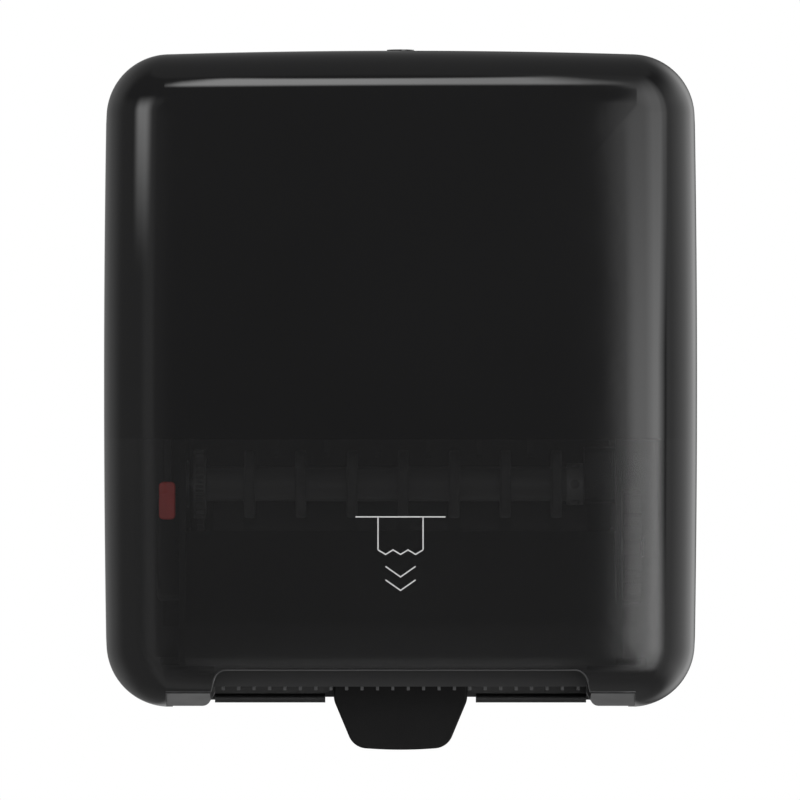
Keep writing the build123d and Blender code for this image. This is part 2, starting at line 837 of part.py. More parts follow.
# Knife: carrier bar that slides along the drum's radius, and the toothed blade on it
knife_plane = Plane(
    (0, -drum_d, drum_z),
    x_dir=(1, 0, 0),
    z_dir=(0, -sin(radians(knife_deg)), -cos(radians(knife_deg))),
)
with BuildPart() as knife_carrier:
    with BuildSketch(knife_plane):
        with Locations((0, carrier_in_r)):
            Rectangle(
                2 * carrier_half,
                carrier_out_r - carrier_in_r,
                align=(Align.CENTER, Align.MIN),
            )
        with Locations([(x, (carrier_in_r + blade_in_r) / 2) for x in finger_xs]):
            SlotOverall(carrier_window_w, carrier_window_h, mode=Mode.SUBTRACT)
    extrude(amount=carrier_t / 2, both=True)
save(knife_carrier, "knife_carrier")

with BuildPart() as knife_blade:
    tooth_count = int(2 * blade_half / blade_pitch)
    tooth_xs = [(i - (tooth_count - 1) / 2) * blade_pitch for i in range(tooth_count)]
    relief_half = tyre_w / 2 + blade_relief
    with BuildSketch(knife_plane.offset(carrier_t / 2)):
        with Locations((0, blade_in_r)):
            Rectangle(2 * blade_half, blade_root_r - blade_in_r, align=(Align.CENTER, Align.MIN))
        for tooth_x in tooth_xs:
            if min(abs(tooth_x - x) for x in tyre_xs) > relief_half:
                with Locations((tooth_x, blade_root_r)):
                    Polygon(
                        (-blade_pitch / 2, 0),
                        (blade_pitch / 2, 0),
                        (0, blade_tip_r - blade_root_r),
                        align=None,
                    )
        # Reliefs let the blade pass the tyres when it is out
        with Locations([(x, blade_root_r) for x in tyre_xs]):
            Rectangle(2 * relief_half, 2 * blade_relief_h, mode=Mode.SUBTRACT)
    extrude(amount=blade_t)
save(knife_blade, "knife_blade")

# Pinch roller: ribbed by seven tyres on a stout shaft that ends in two journals
with BuildPart() as pinch_shaft:
    bar(pinion_in_x, roller_right_x, roller_d, roller_z, roller_shaft_r)
    bar(-frame_out, frame_out, roller_d, roller_z, journal_r)
save(pinch_shaft, "pinch_shaft")

with BuildPart() as pinch_tyres:
    for tyre_x in tyre_xs:
        with BuildPart(mode=Mode.PRIVATE) as tyre:
            bar(tyre_x - tyre_w / 2, tyre_x + tyre_w / 2, roller_d, roller_z, tyre_r)
            chamfer(tyre.edges().filter_by(GeomType.CIRCLE), tyre_bevel)
            bar(
                tyre_x - tyre_w,
                tyre_x + tyre_w,
                roller_d,
                roller_z,
                roller_shaft_r + fit_gap,
                mode=Mode.SUBTRACT,
            )
        add(tyre.part)
save(pinch_tyres, "pinch_tyres")

with BuildPart() as pinch_pinion:
    with BuildSketch(side(gear_mid_x)):
        with Locations((roller_d, roller_z)):
            Polygon(
                *gear_outline(pinion_teeth, roller_deg + degrees(pi) + degrees(pi) / pinion_teeth),
                align=None,
            )
    extrude(amount=pinion_w / 2, both=True)
    bar(pinion_out_x, pinion_out_x + pinion_flange_t, roller_d, roller_z, pinion_flange_r)
    bar(pinion_in_x - pinion_flange_t, pinion_in_x, roller_d, roller_z, pinion_flange_r)
    bar(-width / 2, 0, roller_d, roller_z, journal_r + fit_gap, mode=Mode.SUBTRACT)
save(pinch_pinion, "pinch_pinion")

with BuildPart() as pinch_sleeve:
    bar(sleeve_left_x, roller_right_x, roller_d, roller_z, sleeve_r)
    bar(0, width / 2, roller_d, roller_z, roller_shaft_r + fit_gap, mode=Mode.SUBTRACT)
    sleeve_mid = Plane(
        ((sleeve_left_x + roller_right_x) / 2, -roller_d, roller_z),
        x_dir=(0, -1, 0),
        z_dir=(-1, 0, 0),
    )
    for i in range(sleeve_holes):
        hole_turn = 2 * pi * i / sleeve_holes
        spoke = sleeve_mid.from_local_coords(Vector(cos(hole_turn), sin(hole_turn), 0))
        with Locations(Plane(sleeve_mid.origin, z_dir=spoke - sleeve_mid.origin)):
            Cylinder(
                sleeve_hole_r,
                sleeve_r + overrun,
                align=(Align.CENTER, Align.CENTER, Align.MIN),
                mode=Mode.SUBTRACT,
            )
save(pinch_sleeve, "pinch_sleeve")

with BuildPart() as roller_bush:
    bar(-frame_out, -frame_in, roller_d, roller_z, roller_seat_r)
    bar(-frame_in, -frame_in + roller_flange_t, roller_d, roller_z, roller_flange_r)
    bar(-width / 2, 0, roller_d, roller_z, journal_r + run_gap, mode=Mode.SUBTRACT)
save(roller_bush, "roller_bush")

with BuildPart() as roller_block:
    with BuildSketch(side((block_left_x + frame_in) / 2)) as block:
        with Locations((roller_d, roller_z + block_lift)):
            RectangleRounded(block_d, block_h, block_round)
        with Locations((roller_d, roller_z)):
            Circle(journal_r + run_gap, mode=Mode.SUBTRACT)
    extrude(amount=(frame_in - block_left_x) / 2, both=True)
save(roller_block, "roller_block")

# Transfer bar: shaft, fingers between the tyres and the lever that holds the thumb tab
tab_mid_x = tab_left_x + tab_w / 2
with BuildPart() as transfer_bar:
    bar(tab_left_x, frame_out, bar_d, bar_z, bar_r)
    for finger_x in finger_xs:
        with BuildSketch(side(finger_x)):
            with Locations((bar_d, bar_z)):
                Circle(finger_root_r)
            with Locations((bar_d + finger_ahead, bar_z - finger_drop)):
                Circle(finger_tip_r)
            make_hull()
        extrude(amount=finger_w / 2, both=True)
    with BuildSketch(side(tab_mid_x)):
        with Locations((bar_d, bar_z)):
            Circle(lever_hub_r)
        with Locations((tab_back_d, (tab_top_z + tab_low_z) / 2)):
            Rectangle(lever_pad_t, (tab_top_z - tab_low_z) / 2, align=(Align.MAX, Align.CENTER))
        make_hull()
    extrude(amount=lever_t / 2, both=True)
save(transfer_bar, "transfer_bar")

with BuildPart() as lever_tab:
    with BuildSketch(Plane.XZ.offset(tab_back_d)) as tab_face:
        with Locations((tab_mid_x, (tab_top_z + tab_low_z) / 2)):
            Rectangle(tab_w, tab_top_z - tab_low_z)
        fillet(tab_face.vertices().group_by(Axis.Z)[-1], tab_round)
    extrude(amount=tab_t)
    fillet(lever_tab.faces().sort_by(Axis.Y)[0].edges(), tab_t / 4)
save(lever_tab, "lever_tab")

with BuildPart() as transfer_bushes:
    for sign in (-1, 1):
        bar(sign * frame_in, sign * frame_out, bar_d, bar_z, bar_bush_r)
    bar(-frame_out - overrun, frame_out + overrun, bar_d, bar_z, bar_r + run_gap, mode=Mode.SUBTRACT)
save(transfer_bushes, "transfer_bushes")

# Chute front: a bent panel between the frames, narrower where the hinge feet pass
with BuildPart() as chute_front:
    with BuildSketch(side(0)):
        with BuildLine() as chute_line:
            FilletPolyline(
                (chute_top_d, chute_top_z),
                (chute_knee_d, chute_knee_z),
                (chute_knee_d, chute_lip_z),
                (chute_toe_d, chute_toe_z),
                radius=[chute_bend_r, chute_bend_r / 2],
            )
            offset(amount=chute_wall, side=Side.RIGHT)
        make_face()
    extrude(amount=frame_in, both=True)
    with BuildSketch(Plane.XZ):
        for sign in (-1, 1):
            with Locations((sign * (foot_inner_x - overrun), chute_lip_z)):
                Rectangle(
                    width,
                    height,
                    align=(Align.MIN if sign > 0 else Align.MAX, Align.MAX),
                )
    extrude(amount=depth, mode=Mode.SUBTRACT)
save(chute_front, "chute_front")

# Guide comb: a spine on the back of the chute front with a row of thin ribs
comb_front_d = chute_toe_d - chute_wall
with BuildPart() as guide_comb:
    comb_half = comb_pitch * (comb_count - 1) / 2 + comb_rib_t
    spine_d = chute_knee_d - chute_wall
    with BuildSketch(side(0)):
        with Locations((spine_d, comb_top_z)):
            Rectangle(spine_d - comb_front_d + comb_rib_t, comb_spine_h, align=(Align.MAX, Align.MAX))
    extrude(amount=comb_half, both=True)
    for i in range(comb_count):
        with BuildSketch(side((i - (comb_count - 1) / 2) * comb_pitch)):
            with BuildLine():
                Polyline(
                    (comb_front_d - comb_rib_t, comb_top_z),
                    (comb_front_d, comb_top_z),
                    (comb_front_d - comb_rib_t, comb_low_z),
                    (comb_back_d + comb_spine_h, comb_low_z),
                    (comb_back_d, comb_low_z + comb_spine_h),
                    (comb_back_d, comb_top_z - comb_spine_h),
                    (comb_front_d - comb_rib_t, comb_top_z),
                )
            make_face()
        extrude(amount=comb_rib_t / 2, both=True)
save(guide_comb, "guide_comb")

# Chute rear: a shroud round the drum that runs down into the rail
with BuildPart() as chute_rear:
    with BuildSketch(side(0)):
        with BuildLine():
            shroud_turn = shroud_to_deg - shroud_from_deg
            inner = CenterArc((drum_d, drum_z), shroud_r, shroud_from_deg, shroud_turn)
            outer = CenterArc((drum_d, drum_z), shroud_r + shroud_wall, shroud_from_deg, shroud_turn)
            Line(inner @ 0, outer @ 0)
            Line(inner @ 1, outer @ 1)
        make_face()
    extrude(amount=frame_in, both=True)
    with BuildSketch(side(0)):
        with Locations((tail_d, tail_top_z)):
            Rectangle(shroud_wall, tail_top_z - rail_low_z - rail_r, align=(Align.MAX, Align.MAX))
        with Locations((tail_d - shroud_wall + rail_r, rail_low_z + rail_r)):
            Circle(rail_r)
    extrude(amount=tail_half, both=True)
    with BuildSketch(Plane.XZ):
        for sign in (-1, 1):
            with Locations((sign * (rail_notch_x + rail_notch_w / 2), rail_low_z)):
                Rectangle(rail_notch_w, 2 * rail_notch_h)
    extrude(amount=depth, mode=Mode.SUBTRACT)
save(chute_rear, "chute_rear")

# Tongue below the outlet: a tapered plate with round corners in front of the rail's middle
with BuildPart() as hand_guard:
    with BuildSketch(Plane.XZ.offset(tail_d + 2 * rail_r - shroud_wall)) as tongue:
        with BuildLine():
            Polyline(
                (-tongue_low_half, tongue_low_z + tongue_crown),
                (-tongue_half, tongue_root_z),
                (-tongue_half, tongue_top_z),
                (tongue_half, tongue_top_z),
                (tongue_half, tongue_root_z),
                (tongue_low_half, tongue_low_z + tongue_crown),
            )
            ThreePointArc(
                (-tongue_low_half, tongue_low_z + tongue_crown),
                (0, tongue_low_z),
                (tongue_low_half, tongue_low_z + tongue_crown),
            )
        make_face()
        fillet(tongue.vertices().group_by(Axis.Z)[0], tongue_r)
    extrude(amount=tongue_t)
    fillet(hand_guard.faces().sort_by(Axis.Y)[0].edges(), tongue_t / 3)
save(hand_guard, "hand_guard")

# Roll arms: plates on vertical pins, with a window, and a core hub that turns in each
with BuildPart() as right_roll_arm:
    with BuildSketch(side(arm_mid_x)):
        with Locations((hub_d, hub_z)):
            Circle(arm_end_r)
        with Locations((arm_pin_d, hub_z)):
            Rectangle(arm_t, 2 * arm_root_half, align=(Align.MIN, Align.CENTER))
        make_hull()
        with Locations((arm_pin_d + arm_window_deep, hub_z)):
            SlotOverall(2 * arm_window_r + arm_window_r, arm_window_r, mode=Mode.SUBTRACT)
        with Locations((hub_d, hub_z)):
            Circle(hub_axle_r + run_gap, mode=Mode.SUBTRACT)
    extrude(amount=arm_t / 2, both=True)
    with Locations((arm_mid_x, -arm_pin_d, hub_z)):
        Cylinder(arm_knuckle_r, 2 * arm_root_half)
        Cylinder(arm_pin_r + run_gap, height, mode=Mode.SUBTRACT)
save(right_roll_arm, "right_roll_arm")

with BuildPart() as left_roll_arm:
    mirror(right_roll_arm.part, about=Plane.YZ)
save(left_roll_arm, "left_roll_arm")

with BuildPart() as arm_pins:
    for sign in (-1, 1):
        with Locations((sign * arm_mid_x, -arm_pin_d, hub_z)):
            Cylinder(arm_pin_r, 2 * (arm_root_half + end_gap + arm_lug_t + arm_pin_over))
save(arm_pins, "arm_pins")

with BuildPart() as right_roll_hub:
    flange_x = arm_in - end_gap
    root_x = flange_x - hub_flange_t
    with BuildSketch(Plane.XY) as hub_half:
        with BuildLine():
            Polyline(
                (root_x - hub_reach, 0),
                (root_x - hub_reach, hub_tip_r),
                (root_x, hub_root_r),
                (root_x, hub_flange_r),
                (flange_x, hub_flange_r),
                (flange_x, hub_axle_r),
                (arm_in + arm_t + end_gap, hub_axle_r),
                (arm_in + arm_t + end_gap, hub_cap_r),
                (arm_in + arm_t + end_gap + hub_cap_t, hub_cap_r),
                (arm_in + arm_t + end_gap + hub_cap_t, 0),
                (root_x - hub_reach, 0),
            )
        make_face()
        with Locations((root_x - hub_reach, 0)):
            Rectangle(hub_bore_deep, hub_bore_r, align=(Align.MIN, Align.MIN), mode=Mode.SUBTRACT)
    revolve(axis=Axis.X)
right_roll_hub.part.position = (0, -hub_d, hub_z)
save(right_roll_hub, "right_roll_hub")

with BuildPart() as left_roll_hub:
    mirror(right_roll_hub.part, about=Plane.YZ)
save(left_roll_hub, "left_roll_hub")

# Lock: a cylinder in the cover's top, the cam under it and the keeper on the back panel
with BuildPart() as lock_cylinder:
    with Locations((0, -lock_d, lock_top_z)):
        Cylinder(
            lock_head_r,
            lock_head_t - slide_gap,
            align=(Align.CENTER, Align.CENTER, Align.MAX),
        )
        Cylinder(
            lock_body_r,
            lock_top_z - lock_body_low_z,
            align=(Align.CENTER, Align.CENTER, Align.MAX),
        )
    with BuildSketch(Plane.XY.offset(lock_top_z)):
        with Locations((0, -lock_d)):
            SlotOverall(lock_slot_l, lock_slot_w)
    extrude(amount=-lock_slot_deep, mode=Mode.SUBTRACT)
save(lock_cylinder, "lock_cylinder")

with BuildPart() as lock_cam:
    with BuildSketch(Plane.XY.offset(cam_top_z)):
        with Locations((0, -lock_d)):
            Circle(lock_body_r + cam_t)
            Rectangle(cam_reach, 2 * cam_half, align=(Align.MIN, Align.CENTER))
            Circle(lock_body_r + fit_gap, mode=Mode.SUBTRACT)
    extrude(amount=-cam_t)
save(lock_cam, "lock_cam")

with BuildPart() as lock_keeper:
    with BuildSketch(Plane.XY.offset(cam_top_z + keeper_gap)) as lip:
        with Locations((0, -panel_t)):
            Rectangle(2 * keeper_half, keeper_reach, align=(Align.CENTER, Align.MAX))
        fillet(lip.vertices().group_by(Axis.Y)[0], keeper_t)
    extrude(amount=keeper_t)
save(lock_keeper, "lock_keeper")
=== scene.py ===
from math import atan2, cos, degrees, pi, radians, sin, sqrt, tan

import bmesh
import bpy
from mathutils import Matrix, Vector
from mathutils.bvhtree import BVHTree


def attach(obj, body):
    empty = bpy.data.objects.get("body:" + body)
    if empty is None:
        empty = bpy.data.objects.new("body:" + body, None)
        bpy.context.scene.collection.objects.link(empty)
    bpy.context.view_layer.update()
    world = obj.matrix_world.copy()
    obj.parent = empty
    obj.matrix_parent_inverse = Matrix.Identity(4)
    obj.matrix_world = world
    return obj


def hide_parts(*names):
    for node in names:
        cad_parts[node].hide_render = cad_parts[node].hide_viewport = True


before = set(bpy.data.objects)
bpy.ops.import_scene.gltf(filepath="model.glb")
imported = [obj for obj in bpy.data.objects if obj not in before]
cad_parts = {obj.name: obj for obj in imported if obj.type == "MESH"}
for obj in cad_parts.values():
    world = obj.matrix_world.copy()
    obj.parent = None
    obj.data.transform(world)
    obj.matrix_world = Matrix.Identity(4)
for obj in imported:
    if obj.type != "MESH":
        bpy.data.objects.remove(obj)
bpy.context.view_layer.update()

bl_info = {
    "name": "Hand towel dispenser",
    "version": (1, 0, 0),
    "blender": (4, 5, 0),
    "location": "View3D > Sidebar > Dispenser",
    "description": "Finishes, printed sign and studio for a wall-hung hand towel dispenser",
    "category": "Object",
}


# Shader maths

class Wire:
    """One output of a node tree; arithmetic on it adds Math nodes."""

    def __init__(self, tree, socket=None):
        self.tree = tree
        self.socket = socket

    def node(self, kind, settings=None, inputs=None, output=0):
        """Add a node, its settings first, then the values or links of its sockets."""
        made = self.tree.nodes.new(kind)
        for name, value in (settings or {}).items():
            setattr(made, name, value)
        for name, value in (inputs or {}).items():
            if isinstance(value, Wire):
                self.tree.links.new(value.socket, made.inputs[name])
            else:
                made.inputs[name].default_value = value
        return Wire(self.tree, made.outputs[output])

    def out(self, name):
        """Another output of the node that this one belongs to."""
        return Wire(self.tree, self.socket.node.outputs[name])

    def math(self, operation, *values):
        return self.node("ShaderNodeMath", {"operation": operation}, dict(enumerate(values)))

    def __add__(self, other):
        return self.math("ADD", self, other)

    def __radd__(self, other):
        return self.math("ADD", other, self)

    def __sub__(self, other):
        return self.math("SUBTRACT", self, other)

    def __rsub__(self, other):
        return self.math("SUBTRACT", other, self)

    def __mul__(self, other):
        return self.math("MULTIPLY", self, other)

    def __rmul__(self, other):
        return self.math("MULTIPLY", other, self)

    def __truediv__(self, other):
        return self.math("DIVIDE", self, other)

    def __rtruediv__(self, other):
        return self.math("DIVIDE", other, self)

    def __pow__(self, other):
        return self.math("POWER", self, other)

    def __neg__(self):
        return self.math("MULTIPLY", self, -1.0)

    def rise(self, low, high):
        """0 below low, 1 above high and a soft step between; low may be the higher one."""
        return self.node(
            "ShaderNodeMapRange",
            {"interpolation_type": "SMOOTHSTEP"},
            {"Value": self, "From Min": low, "From Max": high},
        )

    def ramp(self, low, high):
        """0 below low, 1 above high and a straight slope between."""
        return self.node("ShaderNodeMapRange", None, {"Value": self, "From Min": low, "From Max": high})

    def noise(self, scale, detail=2.0):
        """Noise on this vector, from 0 to 1."""
        return self.node("ShaderNodeTexNoise", None, {"Vector": self, "Scale": scale, "Detail": detail})

    def blend(self, first, second):
        """Colour between two others, by this value."""
        return self.node(
            "ShaderNodeMix",
            {"data_type": "RGBA"},
            {"Factor": self, 6: first, 7: second},
            output=2,
        )

    def shades(self, colour, limits):
        """Shades of one colour, by this value, between two factors."""
        low, high = limits
        return self.blend(opaque(colour, low), opaque(colour, high))


# Finishes: noise scales per metre, heights in metres, shades as factors of a colour

PLASTIC_IOR = 1.5
PLAIN_SPECULAR = 0.5
FLOW_SCALE = 9.0
FLOW_SHADES = (0.88, 1.12)
WIPE_SCALE = 46.0
WIPE_ROUGHNESS = 0.4
WAVE_SCALE = 120.0
WAVE_HEIGHT = 0.000003
GRAIN_SCALE = 2200.0
GRAIN_HEIGHT = 0.00004
GRAIN_ROUGHNESS = 0.1
CLOUD_SCALE = 22.0
CLOUD_ROUGHNESS = 0.12
MATTE_SHADES = (0.8, 1.2)
GROUND_SCALE = 900.0
GROUND_STRETCH = (0.12, 1.0, 1.0)
GROUND_HEIGHT = 0.00008
GROUND_ROUGHNESS = 0.2
RUBBER_ROUGHNESS = 0.66
RUBBER_SHADES = (0.85, 1.45)
DUST_SCALE = 60.0
DUST_EDGE = (0.45, 0.75)
DRAWN_SCALE = 2600.0
DRAWN_STRETCH = (12.0, 1.0, 1.0)
DRAWN_HEIGHT = 0.00001
DRAWN_ROUGHNESS = 0.16
SPANGLE_SCALE = 140.0
STEEL_SHADES = (0.86, 1.06)
SMOKE_FACING = (0.01, 0.13)
SMOKE_FALL = 0.85
SMOKE_CLOUD = 0.3
SMOKE_SHADES = (0.0, 1.18)
SMOKE_COAT_IOR = 1.705
# Painted light on the front chute: heights where its grey starts and is full, then the scale and spread of
# the noise along that edge
PAINTED_LIGHT_EDGE = (-0.152, -0.172)
PAINTED_LIGHT_SCALE = 300.0
PAINTED_LIGHT_SPREAD = 0.2


def opaque(colour, factor=1.0):
    """RGBA from a colour property, darker or lighter by a factor."""
    return (colour[0] * factor, colour[1] * factor, colour[2] * factor, 1.0)


def start_material(name):
    """New node material; gives it, its shader node and a wire with the object's own coordinates."""
    material = bpy.data.materials.new(name)
    material.use_nodes = True
    Wire(material.node_tree).node("ShaderNodeTexCoord")
    return material, *inside(material)


def inside(material):
    """Shader node of a material, and a wire with the object's own coordinates."""
    nodes = material.node_tree.nodes
    return nodes["Principled BSDF"], Wire(material.node_tree, nodes["Texture Coordinate"].outputs["Object"])


def feed(shader, name, wire):
    """Link a wire to one input of a shader."""
    wire.tree.links.new(wire.socket, shader.inputs[name])


def feed_bump(shader, height, distance):
    """Link a height in 0 to 1, worth the given distance, as a bump."""
    feed(shader, "Normal", height.node("ShaderNodeBump", None, {"Distance": distance, "Height": height}))


def gloss_plastic(name, colour, roughness, specular=PLAIN_SPECULAR):
    """Polished moulded plastic: faint flow marks, fine waviness and soft wipe marks."""
    material, shader, place = start_material(name)
    shader.inputs["IOR"].default_value = PLASTIC_IOR
    shader.inputs["Specular IOR Level"].default_value = specular
    feed(shader, "Base Color", place.noise(FLOW_SCALE, detail=3.0).shades(colour, FLOW_SHADES))
    wipe = 1.0 + WIPE_ROUGHNESS * (place.noise(WIPE_SCALE, detail=4.0) - 0.5)
    feed(shader, "Roughness", roughness * wipe)
    feed_bump(shader, place.noise(WAVE_SCALE, detail=1.0), WAVE_HEIGHT)
    return material


def matte_plastic(
    name, colour, roughness, specular=PLAIN_SPECULAR, grain=GRAIN_SCALE, height=GRAIN_HEIGHT,
):
    """Moulded plastic with an eroded grain, lighter where the grain is rubbed."""
    material, shader, place = start_material(name)
    shader.inputs["Specular IOR Level"].default_value = specular
    fine = place.noise(grain)
    cloud = place.noise(CLOUD_SCALE, detail=3.0)
    feed(shader, "Base Color", (0.5 * fine + 0.5 * cloud).shades(colour, MATTE_SHADES))
    uneven = CLOUD_ROUGHNESS * (cloud - 0.5) + GRAIN_ROUGHNESS * (fine - 0.5)
    feed(shader, "Roughness", roughness + uneven)
    feed_bump(shader, fine, height)
    return material


def stretched(place, scale):
    """Coordinates drawn out along X."""
    return place.node("ShaderNodeMapping", {"vector_type": "TEXTURE"}, {"Vector": place, "Scale": scale})


def rubber(name, colour):
    """Soft tyre and grip rubber, ground across its width and dusted by paper."""
    material, shader, place = start_material(name)
    ground = stretched(place, GROUND_STRETCH).noise(GROUND_SCALE)
    dust = place.noise(DUST_SCALE, detail=4.0).rise(*DUST_EDGE)
    feed(shader, "Base Color", dust.shades(colour, RUBBER_SHADES))
    feed(shader, "Roughness", RUBBER_ROUGHNESS + GROUND_ROUGHNESS * ground)
    feed_bump(shader, ground, GROUND_HEIGHT)
    return material


def bright_steel(name, colour, roughness):
    """Zinc plated or ground steel with fine drawing lines along X."""
    material, shader, place = start_material(name)
    drawn = stretched(place, DRAWN_STRETCH).noise(DRAWN_SCALE)
    shader.inputs["Metallic"].default_value = 1.0
    feed(shader, "Base Color", place.noise(SPANGLE_SCALE, detail=3.0).shades(colour, STEEL_SHADES))
    feed(shader, "Roughness", roughness + DRAWN_ROUGHNESS * (drawn - 0.5))
    feed_bump(shader, drawn, DRAWN_HEIGHT)
    return material


def dress(material, *nodes):
    """Give CAD nodes a material."""
    for name in nodes:
        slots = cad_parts[name].material_slots
        if not slots:
            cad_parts[name].data.materials.append(material)
        for slot in slots:
            slot.material = material


# Settings

class CoverShape(bpy.types.PropertyGroup):
    width: bpy.props.FloatProperty(
        name="Width", description="Width of the cover at its back edge", unit="LENGTH", default=0.337,
    )
    height: bpy.props.FloatProperty(
        name="Height", description="Height of the cover at its back edge", unit="LENGTH", default=0.372,
    )
    depth: bpy.props.FloatProperty(
        name="Depth", description="Depth from the wall to the front's middle", unit="LENGTH", default=0.203,
    )
    back: bpy.props.FloatProperty(
        name="Back edge", description="Depth of the cover's back edge", unit="LENGTH", default=0.006,
    )
    wall: bpy.props.FloatProperty(
        name="Wall", description="Thickness of the cover", unit="LENGTH", default=0.0026,
    )
    draft: bpy.props.FloatProperty(
        name="Draft", description="Lean of the cover's sides", subtype="ANGLE", default=radians(2),
    )
    shoulder: bpy.props.FloatProperty(
        name="Shoulder", description="Radius between sides and front", unit="LENGTH", default=0.0305,
    )
    corner_spare: bpy.props.FloatProperty(
        name="Corner spare", description="Corner radius at the front beyond the shoulder's",
        unit="LENGTH", default=0.0029,
    )
    side_crown: bpy.props.FloatProperty(
        name="Side crown", description="Swell of the sides", unit="LENGTH", default=0.0019,
    )
    top_crown: bpy.props.FloatProperty(
        name="Top crown", description="Swell of the top", unit="LENGTH", default=0.0033,
    )
    front_crown: bpy.props.FloatProperty(
        name="Front crown", description="Radius of the crowned front", unit="LENGTH", default=2.4,
    )
    seam: bpy.props.FloatProperty(
        name="Seam", description="Height of the seam between the two covers", unit="LENGTH", default=-0.033,
    )
    mouth_half: bpy.props.FloatProperty(
        name="Mouth half", description="Half the width of the outlet mouth at its foot",
        unit="LENGTH", default=0.104,
    )
    mouth_lean: bpy.props.FloatProperty(
        name="Mouth lean", description="Lean of the mouth's sides", subtype="ANGLE", default=radians(13),
    )
    mouth_top: bpy.props.FloatProperty(
        name="Mouth top", description="Height of the mouth's upper edge", unit="LENGTH", default=-0.159,
    )
    mouth_round: bpy.props.FloatProperty(
        name="Mouth round", description="Radius of the mouth's corners", unit="LENGTH", default=0.008,
    )
    lip: bpy.props.FloatProperty(
        name="Lip", description="Radius of the rolled lip round the mouth", unit="LENGTH", default=0.0007,
    )
    notch_half: bpy.props.FloatProperty(
        name="Notch half", description="Outer side of the notches for the feet",
        unit="LENGTH", default=0.1287,
    )
    notch_top: bpy.props.FloatProperty(
        name="Notch top", description="Height of the notches' upper edge", unit="LENGTH", default=-0.1712,
    )
    hinge_top: bpy.props.FloatProperty(
        name="Hinge room top", description="Height of the room behind the hinge",
        unit="LENGTH", default=-0.17,
    )
    hinge_depth: bpy.props.FloatProperty(
        name="Hinge room depth", description="Depth of the room behind the hinge",
        unit="LENGTH", default=0.022,
    )
    swing_half: bpy.props.FloatProperty(
        name="Swing room half", description="Half the width of the room round the hinge",
        unit="LENGTH", default=0.1426,
    )
    swing_top: bpy.props.FloatProperty(
        name="Swing room top", description="Height of the room round the hinge",
        unit="LENGTH", default=-0.162,
    )
    swing_depth: bpy.props.FloatProperty(
        name="Swing room depth", description="Depth of the room round the hinge",
        unit="LENGTH", default=0.033,
    )
    lock_depth: bpy.props.FloatProperty(
        name="Lock depth", description="Depth of the lock's axis", unit="LENGTH", default=0.033,
    )
    lock_seat: bpy.props.FloatProperty(
        name="Lock seat", description="Height of the seat below the lock's head",
        unit="LENGTH", default=0.18375,
    )
    lock_head: bpy.props.FloatProperty(
        name="Lock head", description="Radius of the seat for the lock's head",
        unit="LENGTH", default=0.00776,
    )
    lock_body: bpy.props.FloatProperty(
        name="Lock body", description="Radius of the hole for the lock's body",
        unit="LENGTH", default=0.00606,
    )


class CoverLooks(bpy.types.PropertyGroup):
    black: bpy.props.FloatVectorProperty(
        name="Cover black", description="Colour of the opaque upper cover", subtype="COLOR",
        size=3, min=0, max=1, default=(0.0052, 0.0052, 0.0054),
    )
    smoke: bpy.props.FloatVectorProperty(
        name="Smoke tint", description="Colour of the see-through lower cover", subtype="COLOR",
        size=3, min=0, max=1, default=(0.0235, 0.0235, 0.024),
    )
    smoke_cover: bpy.props.FloatProperty(
        name="Smoke density", description="Share of light that one skin of the smoke cover holds back",
        subtype="FACTOR", min=0, max=1, default=0.25,
    )
    smoke_gloss: bpy.props.FloatProperty(
        name="Smoke gloss", description="Gloss that the clear stretches of the smoke cover get back",
        subtype="FACTOR", min=0, max=1, default=0.306,
    )
    # Painted highlight: the lip gets a lighter black than the cover, so the mouth's edge shows a bright line
    lip: bpy.props.FloatVectorProperty(
        name="Lip black", description="Colour of the rolled lip round the mouth", subtype="COLOR",
        size=3, min=0, max=1, default=(0.034, 0.034, 0.0347),
    )
    gloss: bpy.props.FloatProperty(
        name="Cover roughness", description="Roughness of the polished cover",
        subtype="FACTOR", min=0, max=1, default=0.05,
    )
    foot: bpy.props.FloatVectorProperty(
        name="Foot black", description="Colour of the hinge feet", subtype="COLOR",
        size=3, min=0, max=1, default=(0.02, 0.02, 0.0205),
    )


